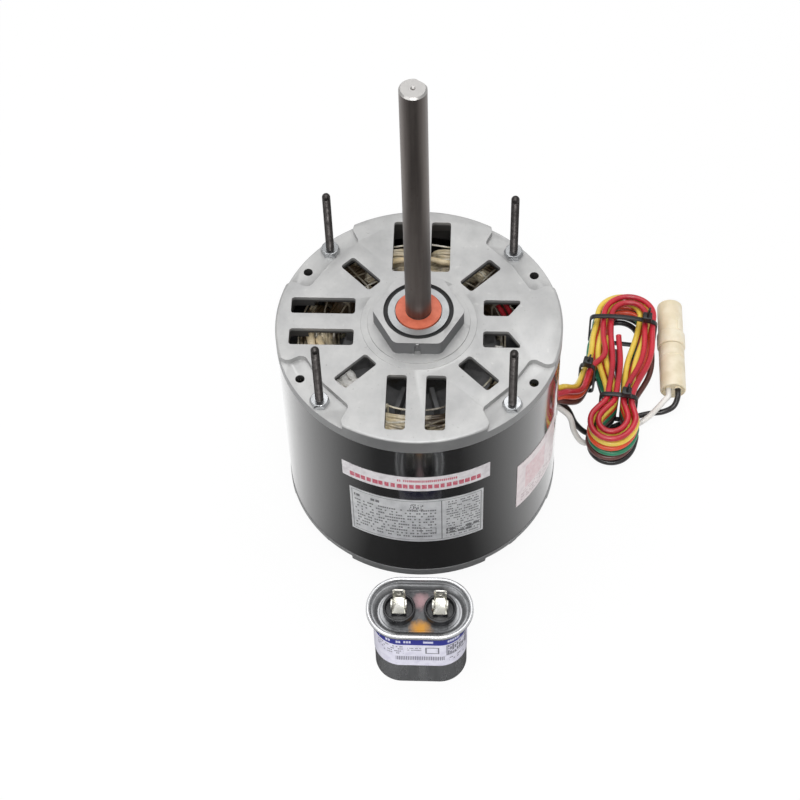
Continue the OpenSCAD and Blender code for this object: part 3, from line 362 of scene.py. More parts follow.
def gloss_black_paint():
    """Baked enamel: two glossy layers with orange peel, dust and a few rubbed streaks."""
    f = Finish("gloss_black_paint")
    dust = f.noise(1.6, 4)
    rub = f.span(f.noise(9, 4, (1, 1, 0.25)), 0.56, 0.72)
    return f.surface(f.mix(f.span(f.noise(28, 3), 0.35, 0.7), "#040405", "#09090a"),
                     f.span(dust, 0.35, 0.75, 0.14, 0.22) + rub * 0.08, (f.noise(2.4, 2), 0.006),
                     Coat_Weight=1.0, Coat_Roughness=0.1)


# The shields' face: outer face, the rim's radius and drop, and where the painted shade lies
TOP_FACE = 137.0
LOW_FACE = 10.0
RIM_R = 71.2
RIM_DROP = 0.9
VENT_BAND = 16.5
VENT_REACH = 57.5
CASTING_IR = 70.9
PAD_DEPTH = 3.6
HUB_REACH = 24.5
STEEP = 0.5
LATHE_PITCH = 0.35


def cast_aluminium(name, face, sign):
    """Die-cast face: clouds, grey smears, a few pits and a turned rim, with painted shade on the hub's
    sides, in the vents and deep inside.
    """
    f = Finish(name)
    x, y, z = f.axes()
    depth = (face - z) * sign
    grain = f.noise(0.35, 3)
    flow = f.noise(6, 4, (1, 0.5, 1))
    pits = f.span(f.noise(1.5, 3), 0.68, 0.76)
    dents = f.span(f.noise(4.5, 2), 0.70, 0.76)
    cloud = f.noise(18, 5, roughness=0.6)
    tone, rough = f.patchy(cloud, 0.35, 0.65, "#a9a9a9", "#bbbbba", 0.42, 0.55)
    tone = f.mix(f.span(flow, 0.5, 0.8, 0, 0.25), tone, "#8c8c8b")
    tone = f.mix(pits * 0.45, tone, "#66635f")
    tone = f.mix(dents * 0.3, tone, "#d2d2d0")
    across = distance(x, y)
    turned_rim = (across > RIM_R) * (depth > RIM_DROP)
    tone = f.mix(turned_rim * 0.55, tone, "#6d6e70")
    facing = f.node("NewGeometry", output="Normal")
    steep = abs(f.outputs("SeparateXYZ", "Z", [facing])[0]) < STEEP
    near_axis = (abs(x) < VENT_BAND).math("MAXIMUM", abs(y) < VENT_BAND)
    vents = near_axis.math("MAXIMUM", across < VENT_REACH) * steep * (across < CASTING_IR)
    # painted shade: the hub's steep sides are coloured dark grey
    hub_side_shade = (across < HUB_REACH) * steep
    tone = f.mix(hub_side_shade * 0.8, tone, "#505154")
    # painted shade: vent walls below the face and faces deeper than the pads are coloured nearly black,
    # rougher and less metallic
    deep = (depth > PAD_DEPTH) * (across < CASTING_IR)
    inner_shade = (f.span(depth, 0.6, 2.6) * vents).math("MAXIMUM", deep)
    lathe_marks = abs((z / LATHE_PITCH).math("FRACT") - 0.5) * turned_rim
    return f.surface(f.mix(inner_shade * 0.94, tone, "#171513"), rough - turned_rim * 0.08 + inner_shade * 0.25,
                     (grain * 0.6 + lathe_marks * 0.5 - dents * 0.4, 0.05), Metallic=0.62 - inner_shade * 0.6)


LAMINATION_T = 0.5


def lamination_steel():
    """Stack of sheets: a dark seam at each sheet and brown stains."""
    f = Finish("lamination_steel")
    (z,) = f.axes("Z")
    seam = f.span((z / LAMINATION_T).math("FRACT"), 0.0, 0.25, 1, 0)
    tone, rough = f.patchy(f.noise(6, 4), 0.4, 0.7, "#77787a", "#5a564f", 0.35, 0.55)
    return f.surface(f.mix(seam * 0.6, tone, "#2c2b2a"), rough, (1 - seam, 0.06), Metallic=0.8)


# Directions of painted shade on the windings and cords, in degrees, and how narrow each patch of shade is
SHADE_TURNS = (32, 148, 308)
SHADE_FOCUS = 9


def stains_and_shade(f):
    """From 0 to 1 where the windings are darker: random patches, with painted shade added towards a few
    directions.
    """
    x, y = f.axes("XY")
    turn = y.math("ARCTAN2", x)
    # painted shade: lobes that darken the windings and cords towards a few directions
    shade_lobes = [(turn - math.radians(a)).math("COSINE").math("MAXIMUM", 0.0) ** SHADE_FOCUS
             for a in SHADE_TURNS]
    return f.span(f.noise(17, 4) + sum(shade_lobes) * 0.3, 0.56, 0.68)


def winding_varnish():
    """Enamelled wire under cream varnish, with dark patches that are partly random and partly painted
    shade.
    """
    f = Finish("winding_varnish")
    fine = f.noise(1.0, 3)
    tone = f.mix(f.span(f.noise(5, 3), 0.35, 0.65), "#efe5cf", "#d3c3a0")
    # dark patches, partly random and partly painted shade
    tone = f.mix(stains_and_shade(f), tone, "#40321f")
    return f.surface(f.mix(f.span(fine, 0.6, 0.8, 0, 0.6), tone, "#8a5a38"),
                     f.vary(fine, 0.35, 0.55), (fine, 0.08), Coat_Weight=0.4, Coat_Roughness=0.25)


def fibre_cord(name, light, dark, soaked, stain_and_shade=0.0):
    """Woven cord or tape: tufts, a light weave, soaked patches, and dark patches that are partly random and
    partly painted shade.
    """
    f = Finish(name)
    tuft = f.noise(0.7, 3)
    weave = f.cells(0.6)
    tone, rough = f.patchy(f.noise(9, 3), 0.4, 0.7, light, dark, 0.7, 0.85)
    # dark patches, partly random and partly painted shade, scaled by the last argument
    tone = f.mix(stains_and_shade(f) * stain_and_shade, tone, "#3a2c1c")
    return f.surface(f.mix(f.span(tuft, 0.5, 0.8, 0, 0.45), tone, soaked), rough,
                     (tuft * 0.5 + weave * 0.5, 0.15))


def insulation_film():
    """Cream film between the slots and the windings."""
    f = Finish("insulation_film")
    return f.surface(*f.patchy(f.noise(5, 3), 0.3, 0.7, "#ddd6c2", "#b9ab87", 0.3, 0.5))


def moulded(name, light, dark, size, roughness, relief=0.02):
    """Moulded rubber or plastic: two close tones, a soft sheen and a fine grain."""
    f = Finish(name)
    look = f.patchy(f.noise(size, 3), 0.35, 0.65, light, dark, roughness - 0.05, roughness + 0.06)
    return f.surface(*look, (f.noise(0.25, 2), relief))


PROTECTOR_END = 7.6


def protector_case():
    """Dark case of the thermal protector, with its two red leads past the end."""
    f = Finish("protector_case")
    (y,) = f.axes("Y")
    case, rough = f.patchy(f.noise(4, 3), 0.35, 0.65, "#26272a", "#1b1c1e", 0.4, 0.52)
    return f.surface(f.mix(y > PROTECTOR_END, case, "#a3212b"), rough, (f.noise(0.25, 2), 0.02))


def natural_nylon():
    """Uncoloured nylon that lets a little light in."""
    f = Finish("natural_nylon")
    look = f.patchy(f.noise(9, 3), 0.35, 0.65, "#ece2cb", "#ddd0b2", 0.38, 0.48)
    return f.surface(*look, (f.noise(0.5, 2), 0.03),
                     Subsurface_Weight=0.12, Subsurface_Radius=(0.004, 0.003, 0.002))


def metal(name, light, dark, size, low, high, metallic=1.0, relief=0.01):
    """Plated or rolled metal with a patchy tone and fine marks."""
    f = Finish(name)
    look = f.patchy(f.noise(size, 4), 0.3, 0.7, light, dark, low, high)
    return f.surface(*look, (f.noise(0.4, 2), relief), Metallic=metallic)


SHAFT_TOP = 305.75
SHAFT_TIP = 0.9


def shaft_steel():
    """Ground steel: a bright tip, faint rings from the wheel and long soft stains."""
    f = Finish("shaft_steel")
    (z,) = f.axes("Z")
    ring = f.node("TexNoise", {"noise_dimensions": "1D"}, {"W": z * 2.2, "Scale": 1.0, "Detail": 2.0})
    streak = f.noise(3.5, 4, (1, 1, 0.05))
    rust = f.span(f.noise(2.2, 4), 0.62, 0.78)
    tone, rough = f.patchy(streak, 0.3, 0.7, "#5a5451", "#736c68", 0.3, 0.42)
    tone = f.mix(rust * 0.4, tone, "#4b342a")
    return f.surface(f.mix(z > SHAFT_TOP - SHAFT_TIP, tone, "#b8b6b4"), rough, (ring, 0.02),
                     Metallic=0.9)


def lead_cover(name, light, dark):
    """Extruded lead insulation: a waxy sheen with faint dust."""
    f = Finish(name)
    dust = f.noise(0.7, 3)
    return f.surface(f.mix(f.span(f.noise(14, 2), 0.35, 0.65), light, dark),
                     f.span(dust, 0.3, 0.75, 0.24, 0.4), (dust, 0.012), Coat_Weight=0.15)


# ---------- geometry toolkit, in millimetres ----------

SMOOTH_ALL = 180


def polar(radius, degrees, z=0.0):
    angle = math.radians(degrees)
    return Vector((radius * math.cos(angle), radius * math.sin(angle), z))


def moved(x=0.0, y=0.0, z=0.0):
    return Matrix.Translation((x, y, z))


def spun(degrees, axis="Z"):
    return Matrix.Rotation(math.radians(degrees), 4, axis)


def outward(bm):
    """The same bmesh with its faces turned outward."""
    bmesh.ops.recalc_face_normals(bm, faces=bm.faces)
    return bm


def cleaned(bm):
    """The same bmesh with doubled points merged."""
    bmesh.ops.remove_doubles(bm, verts=bm.verts, dist=1e-4)
    return outward(bm)


def add_line(bm, points, closed=True):
    """Draws a line in a bmesh and returns its points and edges."""
    verts = [bm.verts.new(p) for p in points]
    follow = verts[1:] + (verts[:1] if closed else [])
    return verts, [bm.edges.new(pair) for pair in zip(verts, follow)]


def push(bm, extruded, way):
    """Moves the points that an extrusion has made."""
    fresh = [g for g in extruded["geom"] if isinstance(g, bmesh.types.BMVert)]
    bmesh.ops.translate(bm, vec=way, verts=fresh)


def lathe(profile, steps):
    """Solid turned from (radius, height) points, about Z."""
    bm = bmesh.new()
    points, edges = add_line(bm, [(r, 0, z) for r, z in profile], closed=False)
    bmesh.ops.spin(bm, geom=points + edges, cent=(0, 0, 0), axis=(0, 0, 1), dvec=(0, 0, 0),
                   angle=TAU, steps=steps, use_merge=True, use_normal_flip=False,
                   use_duplicate=False)
    return cleaned(bm)


def arc(centre, radius, start, end, steps):
    """Points of an arc in a profile's (radius, height) plane, angles in degrees."""
    angles = [math.radians(start + (end - start) * i / steps) for i in range(steps + 1)]
    return [(centre[0] + radius * math.cos(a), centre[1] + radius * math.sin(a)) for a in angles]


def rounded_loop(left, right, low, high, radius, steps):
    """Closed line round a rectangle with rounded corners, from its lower right corner."""
    corners = [((right - radius, low + radius), -90), ((right - radius, high - radius), 0),
               ((left + radius, high - radius), 90), ((left + radius, low + radius), 180)]
    return [p for centre, start in corners for p in arc(centre, radius, start, start + 90, steps)]


def ease_edges(bm, width, over=30, segments=2):
    """Rounds every edge whose faces meet at more than the given angle."""
    edges = [e for e in bm.edges if e.is_manifold and e.calc_face_angle(0) > math.radians(over)]
    bmesh.ops.bevel(bm, geom=edges, offset=width, offset_type="OFFSET", affect="EDGES",
                    segments=segments, profile=0.5, material=-1, clamp_overlap=True)
    return bm


def slab(size, bevel=0.0):
    """Box of the given size round the origin, with eased edges where a bevel is given."""
    bm = bmesh.new()
    bmesh.ops.create_cube(bm, size=1)
    bmesh.ops.scale(bm, vec=size, verts=bm.verts)
    return ease_edges(bm, bevel) if bevel else bm


def swept(paths, diameter, sides, closed=False):
    """Round tubes along lists of points, as one mesh."""
    curve = bpy.data.curves.new("line", "CURVE")
    curve.dimensions = "3D"
    curve.bevel_depth = diameter / 2
    curve.bevel_resolution = (sides - 4) // 2
    curve.use_fill_caps = not closed
    for path in paths:
        spline = curve.splines.new("POLY")
        spline.points.add(len(path) - 1)
        spline.use_cyclic_u = closed
        for knot, point in zip(spline.points, path):
            knot.co = (*point, 1)
    line = placed("line", curve)
    mesh = bpy.data.meshes.new_from_object(line.evaluated_get(bpy.context.evaluated_depsgraph_get()))
    bm = bmesh.new()
    bm.from_mesh(mesh)
    bpy.data.objects.remove(line)
    bpy.data.curves.remove(curve)
    bpy.data.meshes.remove(mesh)
    return cleaned(bm)


def stretched(bm, extra):
    """Opens a turned solid into a stadium: each half moves outwards along X."""
    for vert in bm.verts:
        if abs(vert.co.x) > 1e-6:
            vert.co.x += math.copysign(extra, vert.co.x)
    return bm


def plate(outline_points, thickness, bevel, holes=()):
    """Flat plate in XY with round holes and eased edges, its lower face at z = 0."""
    bm = bmesh.new()
    loops = [[Vector((x, y, 0)) for x, y in outline_points]]
    loops += [[Vector(centre).to_3d() + polar(radius, a) for a in range(0, 360, 20)]
              for centre, radius in holes]
    for loop in loops:
        add_line(bm, loop)
    bmesh.ops.triangle_fill(bm, use_beauty=True, edges=bm.edges)
    bmesh.ops.dissolve_limit(bm, angle_limit=0.01, verts=bm.verts, edges=bm.edges)
    raised = bmesh.ops.extrude_face_region(bm, geom=bm.faces[:], use_keep_orig=True)
    push(bm, raised, (0, 0, thickness))
    return ease_edges(outward(bm), bevel)


def joined(*parts):
    """One bmesh from several (bmesh, place) pairs, which are used up."""
    whole = bmesh.new()
    for source, place in parts:
        mesh = bpy.data.meshes.new("copy")
        source.to_mesh(mesh)
        source.free()
        mesh.transform(place)
        whole.from_mesh(mesh)
        bpy.data.meshes.remove(mesh)
    return whole


def drawn(name, bm, material):
    """An object from a bmesh in millimetres."""
    bmesh.ops.scale(bm, vec=(MM, MM, MM), verts=bm.verts)
    mesh = bpy.data.meshes.new(name)
    bm.to_mesh(mesh)
    bm.free()
    mesh.materials.append(material)
    return placed(name, mesh)


def piece(name, bm, material, replaces=(), body="motor", sharp=38):
    """Finishes a bmesh in millimetres as a piece of the object."""
    made = drawn(name, bm, material)
    made.data.shade_smooth()
    made.data.set_sharp_from_angle(angle=math.radians(sharp))
    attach(made, body)
    if replaces:
        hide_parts(*replaces)
    return made


EASED_OVER = math.radians(35)


def eased_copy(node, material, width):
    """A CAD node's shape with its hard edges rounded."""
    bm = bmesh.new()
    bm.from_mesh(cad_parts[node].data)
    bmesh.ops.scale(bm, vec=(1 / MM,) * 3, verts=bm.verts)
    bmesh.ops.remove_doubles(bm, verts=bm.verts, dist=0.002)
    bmesh.ops.dissolve_limit(bm, angle_limit=math.radians(0.5), verts=bm.verts, edges=bm.edges)
    made = piece(node + "_eased", bm, material, (node,))
    rounding = made.modifiers.new("rounding", "BEVEL")
    rounding.width = width * MM
    rounding.segments = 2
    rounding.limit_method = "ANGLE"
    rounding.angle_limit = EASED_OVER
    rounding.miter_outer = "MITER_ARC"


def dress(material, *nodes):
    """Gives CAD nodes their finish."""
    for name in nodes:
        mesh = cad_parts[name].data
        mesh.materials.clear()
        mesh.materials.append(material)


# ---------- leads ----------

WIRE_D = 3.2
WIRE_SIDES = 12
# Direction and height of the lead exit
EXIT_TURN = 20
EXIT_Z = 36
GROMMET_PITCH = 3.5
# Distance between leads beside each other, and between the hank's layers and turns
BUNDLE_PITCH = WIRE_D + 0.6
LAYER_STEP = 3.7
LOOP_STEP = 4.34
# Half widths of the hank at its waist and at its near fold, and where it is narrow and wide
WAIST = 5.1
NEAR_FOLD = 10.6
WAIST_V = 23.6
WIDE_V = 70
NEAR_SHIFT = -2.4
HANK_ORIGIN = Vector((103.6, 10.6))
HANK_TURN = -6
FIRST_RING = 5.2
RINGS_PER_LOOP = 24
LOOPS = 2
# More than 1 sets the rings closer together near the near fold
RING_EASE = 1.6
FLOOR_GAP = 0.05
WAIST_LIFT = 5.2
WAIST_REACH = 22
LOOP_TIE_V = 78
LOOP_TIE_REACH = 20
TIE_T = 1.1
OVER_STRAP = TIE_T + 0.4
JOIN_STEP = 0.8
GROUP_EXIT = [(63.6, 0), (68, 0), (73.6, 0.8), (77.4, 1.9)]
GROUP_BEND = (Vector((83.8, 37, 24)), 60, 36)
GROUP_TIE = (Vector((90, 56, 0)), 76)

# Leads from the lowest layer of the hank to the highest: radius of the far fold,
# fan angle of the loop, its reach, the sway of its runs, and how far its near fold
# sits beyond that of the top layer.
LEAD_SHAPE = {
    "black": (11.4, 2.4, 92, -1.4, 3),
    "brown": (11.2, -1.2, 95, 3.2, 2.4),
    "green": (11, 1.8, 94, -3.6, 1.8),
    "orange": (10.8, -0.6, 91, -1.2, 1.2),
    "yellow": (10.4, 1.2, 95.4, -3.2, 0.6),
    "red": (10.2, -2, 93, 2.6, 0),
}
LAYER = {name: k for k, name in enumerate(LEAD_SHAPE)}


def smooth(x):
    """From 0 to 1 with a flat start and end."""
    held = max(0.0, min(1.0, x))
    return held * held * (3 - 2 * held)


def turned(p, degrees):
    """A point of the plane turned about the origin."""
    angle = math.radians(degrees)
    return Vector((p[0] * math.cos(angle) - p[1] * math.sin(angle),
                   p[0] * math.sin(angle) + p[1] * math.cos(angle)))


def half_width(v, far):
    """Half the width of the innermost loop at v along the hank."""
    if v < WAIST_V:
        return WAIST + (NEAR_FOLD - WAIST) * smooth((WAIST_V - v) / (WAIST_V - NEAR_FOLD))
    return WAIST + (far - WAIST) * smooth((v - WAIST_V) / (WIDE_V - WAIST_V))


def loop_point(q, shape):
    """Point of a loop in the hank's plane at ring q."""
    far, _, reach, sway_width, beyond = shape
    turn = q % RINGS_PER_LOOP
    quarter = RINGS_PER_LOOP / 4
    leg = int(turn // quarter)
    x = turn / quarter - leg
    spread = LOOP_STEP * (1 - (q - FIRST_RING) / RINGS_PER_LOOP)
    far_v = reach - far
    near_v = NEAR_FOLD - beyond
    along = x if leg == 0 else 1 - x
    v = near_v + (far_v - near_v) * along ** RING_EASE
    side = half_width(v, far) + spread
    sway = 0.0
    if v > WAIST_V:
        sway = sway_width * math.sin(math.pi * smooth((v - WAIST_V) / (far_v - WAIST_V)))
    if leg == 0:
        return Vector((sway - side, v))
    if leg == 2:
        return Vector((sway + side, v))
    round_fold = Vector((-math.cos(math.pi * x), math.sin(math.pi * x)))
    if leg == 1:
        return Vector((0, far_v)) + (far + spread) * round_fold
    return Vector((0, near_v)) - (NEAR_FOLD + spread) * round_fold


def hump(x, reach):
    return math.exp(-(x / reach) ** 2)


def hank_lift(y):
    """Rise of the hank over what lies under it."""
    over_leads = WAIST_LIFT * hump(y - HANK_ORIGIN.y - WAIST_V, WAIST_REACH)
    over_strap = OVER_STRAP * hump(y - HANK_ORIGIN.y - LOOP_TIE_V, LOOP_TIE_REACH)
    return over_leads + over_strap


def layer_z(k, y):
    return WIRE_D / 2 + FLOOR_GAP + k * LAYER_STEP + hank_lift(y)


def hank_point(q, name):
    """Point of a lead's loops at ring q, fanned, shifted and set in its layer."""
    shape = LEAD_SHAPE[name]
    flat = loop_point(q, shape) - Vector((0, WAIST_V))
    fan = turned(flat, shape[1]) + Vector((0, WAIST_V))
    bent = fan + Vector((NEAR_SHIFT * smooth((WAIST_V - fan.y) / WAIST_V), 0))
    world = HANK_ORIGIN + turned(bent, HANK_TURN)
    return Vector((world.x, world.y, layer_z(LAYER[name], world.y)))


def column(k):
    return k % 2 - 0.5


def row(k):
    return k // 2 - 1


def exit_frame(x, y, z):
    flat = turned((x, y), EXIT_TURN)
    return Vector((flat.x, flat.y, EXIT_Z + z))


def bend_point(k):
    centre, heading, dip = GROUP_BEND
    side = polar(1, heading - 90)
    up = polar(math.sin(math.radians(dip)), heading, math.cos(math.radians(dip)))
    return centre + BUNDLE_PITCH * (column(k) * side + row(k) * up)


def tie_point(k):
    centre, heading = GROUP_TIE
    p = centre + BUNDLE_PITCH * column(k) * polar(1, heading - 90)
    return Vector((p.x, p.y, layer_z(k, p.y)))


def group_points(name):
    k = LAYER[name]
    exits = [exit_frame(x + step * (row(k) + 1), -GROMMET_PITCH * column(k),
                        GROMMET_PITCH * (row(k) + 0.5)) for x, step in GROUP_EXIT]
    return exits + [bend_point(k), tie_point(k), hank_point(FIRST_RING - JOIN_STEP, name)]


def between(points, i, t):
    """Catmull-Rom curve from point i to the next."""
    last = len(points) - 1
    a, b = points[max(i - 1, 0)], points[i]
    c, d = points[min(i + 1, last)], points[min(i + 2, last)]
    return 0.5 * (2 * b + (c - a) * t + (2 * a - 5 * b + 4 * c - d) * t * t
                  + (3 * b - a - 3 * c + d) * t ** 3)


def eased_line(points, first, last, steps):
    return [between(points, i, s / steps) for i in range(first, last) for s in range(steps)]


RING_PARTS = 5
TIE_PARTS = 10
ROUTE_PARTS = 6


def lead_path(name):
    """Route of one lead: out of the grommet, round to the tie and through the hank."""
    knots = group_points(name) + [hank_point(FIRST_RING, name), hank_point(FIRST_RING + 1, name)]
    rings = LOOPS * RINGS_PER_LOOP * RING_PARTS
    hank = [hank_point(FIRST_RING + i / RING_PARTS, name) for i in range(rings + 1)]
    return knots[:3] + eased_line(knots, 3, 7, TIE_PARTS) + hank


CONTACT_PITCH = 5.2
PLUG_NEAR = Vector((138.2, 51, 8.0))
LEAD_ENTRY = 3
WHITE_ROUTE = [(79.6, 23.6, 21.5), (83, 21.6, 9), (88, 19.4, 2.2), (95, 20.4, 1.9), (103, 24, 1.9),
               (111, 28, 1.9), (118, 32, 2.1), (124, 35.6, 4), (129, 40, 6.4), (133.4, 45, 7.7)]
BLACK_ROUTE = [(78.4, 28.8, 21.5), (83.6, 27.4, 9), (90, 25.6, 2.6), (97, 27, 1.9), (105, 30.4, 1.9),
               (112, 34.2, 1.9), (119, 37.8, 1.9), (126, 39.8, 1.9), (132.8, 40.6, 2.6), (138.4, 42.6, 5.2)]


def plug_path(side, route):
    exits = [exit_frame(x - step, GROMMET_PITCH * side / 2, -1.5 * GROMMET_PITCH)
             for x, step in GROUP_EXIT]
    entry = [PLUG_NEAR + Vector((side * CONTACT_PITCH / 2, y, 0)) for y in (-3, LEAD_ENTRY)]
    knots = exits + [Vector(p) for p in route] + entry
    last = len(knots) - 2
    return knots[:3] + eased_line(knots, 3, last, ROUTE_PARTS) + knots[last:]


def path_length(points):
    return sum((b - a).length for a, b in zip(points, points[1:]))


def make_cord(name, path, material, slot, replaces, **facts):
    tube = piece(name, swept([path], WIRE_D, WIRE_SIDES), material, replaces)
    route = [tuple(p * MM) for p in path]
    round(path_length(path) * MM, 4)
    "coiled" if not facts.get("with_pieces") else "loose"


LEAD_TONES = {
    "black": ("#1b191a", "#262324"),
    "brown": ("#6a3f39", "#50302c"),
    "red": ("#c82838", "#ad2130"),
    "orange": ("#e0522c", "#c9452a"),
    "green": ("#2a8762", "#1f6f4e"),
    "yellow": ("#ecd058", "#dcbb45"),
    "white": ("#eceae6", "#d9d6d1"),
}
covers = {name: lead_cover(name + "_cover", *tones) for name, tones in LEAD_TONES.items()}
for name in LEAD_SHAPE:
    make_cord("motor_lead_" + name, lead_path(name), covers[name], name + "_lead",
              ("lead_" + name, "hank_" + name), far_end="bare")


def make_connector_leads(housing):
    for name, side, route in (("white", -1, WHITE_ROUTE), ("black", 1, BLACK_ROUTE)):
        make_cord("connector_lead_" + name, plug_path(side, route), covers[name], name + "_lead",
                  ("plug_lead_" + name,), far_end="connector",
                  with_pieces=[housing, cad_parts["plug_sockets"]])


# ---------- surroundings ----------

WHITE = (1, 1, 1, 1)
FLOOR_TONE = (0.86, 0.86, 0.86, 1)
FLOOR_GLOW = 0.93
FLOOR_REACH = 4000
ROOM_LIGHT = 0.55

# Soft boxes: place, what they point at, width and length, and watts
SOFTBOXES = {
    "overhead_box": ((-100, 250, 1500), (0, 0, 100), (1400, 1100), 11),
    "front_box": ((-900, -900, 900), (0, 0, 80), (900, 700), 4),
    "camera_box": ((60, -700, 1150), (0, 0, 110), (500, 400), 6),
}


def floor_finish():
    """White studio floor: bright where the camera or a reflection sees it, with the shadow kept.
    Reflections find it dark in front and brighter towards the sides."""
    f = Finish("studio_floor")
    camera, glossy, through = f.outputs(
        "LightPath", ("Is Camera Ray", "Is Glossy Ray", "Is Transmission Ray"))
    seen = camera.math("MAXIMUM", glossy).math("MAXIMUM", through)
    x, y = f.axes("XY")
    from_front = abs(x).math("ARCTAN2", y * -1) * math.degrees(1)
    sides = f.span(from_front, 26, 58, 0.05, 0.55) + f.span(from_front, 58, 105, 0, 0.5)
    matt = f.node("BsdfDiffuse", inputs={"Color": FLOOR_TONE})
    glow = f.node("Emission", inputs={"Color": WHITE, "Strength": 1 - glossy * (1 - sides)})
    f.node("OutputMaterial", inputs=[f.node("MixShader", inputs=[seen * FLOOR_GLOW, matt, glow])])
    return f.material


def make_floor():
    bm = bmesh.new()
    bmesh.ops.create_grid(bm, x_segments=1, y_segments=1, size=FLOOR_REACH)
    floor = drawn("studio_floor", bm, floor_finish())


def make_world():
    """White to the camera, and a dimmer white room to everything else."""
    world = bpy.data.worlds.new("studio")
    sky = Nodes(world)
    seen = sky.outputs("LightPath", ["Is Camera Ray"])
    room = sky.node("Background", inputs={"Color": WHITE, "Strength": ROOM_LIGHT})
    white = sky.node("Background", inputs={"Color": WHITE})
    sky.node("OutputWorld", inputs=[sky.node("MixShader", inputs=[*seen, room, white])])
    scene.world = world


def make_softbox(name, place, aim, size, watts):
    data = bpy.data.lights.new(name, "AREA")
    data.shape = "RECTANGLE"
    data.size, data.size_y = (side * MM for side in size)
    data.energy = watts
    lamp = placed(name, data)
    lamp.location = Vector(place) * MM
    lamp.rotation_euler = (Vector(aim) - Vector(place)).to_track_quat("-Z", "Y").to_euler()


make_floor()
make_world()
for name, facts in SOFTBOXES.items():
    make_softbox(name, *facts)
scene.view_settings.view_transform = "Standard"


# ---------- threaded bolts ----------

STUD_PLACE_R = 66.05
STUD_TURNS = (45, 135, 225, 315)
BOLT_LOW = 13.4
SHANK_R = 1.84
THREAD_R = 2.085
THREAD_ROOT = 1.7
THREAD_LOW = 136.8
THREAD_HIGH = 176.5
THREAD_PITCH = 0.794
# Heights in a turn of the thread where its root starts and ends and its crest starts
ROOT_START, ROOT_END, CREST_START = 0.3, 0.42, 0.68
HEX_AF = 8.7
HEX_H = 3.2
HEX_EASE = 0.25


def bolt():
    """Number 8 bolt: plain shank, rolled thread and a round tip."""
    profile = [(0, BOLT_LOW), (SHANK_R, BOLT_LOW), (SHANK_R, THREAD_LOW), (THREAD_R, THREAD_LOW + 0.01)]
    z = THREAD_LOW + 0.3
    while z < THREAD_HIGH - THREAD_PITCH:
        profile += [(THREAD_R, z), (THREAD_ROOT, z + ROOT_START), (THREAD_ROOT, z + ROOT_END),
                    (THREAD_R, z + CREST_START)]
        z += THREAD_PITCH
    profile += [(THREAD_R, z), (THREAD_R, THREAD_HIGH)]
    profile += arc((0, THREAD_HIGH), THREAD_R, 12, 90, 6)
    profile[-1] = (0, profile[-1][1])
    return lathe(profile, 20)


def bolt_head():
    """Hexagon head with eased edges."""
    bm = bmesh.new()
    corner_r = HEX_AF / math.sqrt(3)
    bmesh.ops.create_cone(bm, cap_ends=True, segments=6, radius1=corner_r, radius2=corner_r,
                          depth=HEX_H, matrix=moved(z=HEX_H / 2) @ spun(30))
    return ease_edges(bm, HEX_EASE)


def make_bolts():
    parts = []
    for turn in STUD_TURNS:
        place = spun(turn) @ moved(x=STUD_PLACE_R)
        parts += [(bolt(), place), (bolt_head(), place @ moved(z=BOLT_LOW - HEX_H) @ spun(30))]
    steel = metal("dark_steel", "#504d4c", "#383635", 2, 0.34, 0.48, relief=0.006)
    piece("through_bolts_threaded", joined(*parts), steel, ("through_bolts",), sharp=50)


make_bolts()


# ---------- cable ties ----------

TIE_W = 2.6
TIE_SLACK = 0.6
TIE_ROUND = 3.0
TIE_STEPS = 6
TIE_TOP_PARTS = 9
HANK_H = 5 * LAYER_STEP + WIRE_D
TIE_HEAD = Vector((5.2, 4.8, 4.4))
TIE_MOUTH = (2.4, 5.2, 0.9)
TIE_RIB = (0.5, TIE_W * 0.7, 0.35)
RIB_STEP = 0.8


def tie_loop(width, height, bulge):
    """Closed line of a strap round a bundle, seen along it. The upper side bows out."""
    half = width / 2
    line = rounded_loop(-half, half, 0, height, TIE_ROUND, TIE_STEPS)
    flat = width - 2 * TIE_ROUND
    top = [(half - TIE_ROUND - flat * i / TIE_TOP_PARTS, height) for i in range(1, TIE_TOP_PARTS)]
    line[2 * TIE_STEPS + 2:2 * TIE_STEPS + 2] = top
    return [(x, z + bulge * math.cos(math.pi * x / width) * smooth((z - height / 2) * 2 / height))
            for x, z in line]


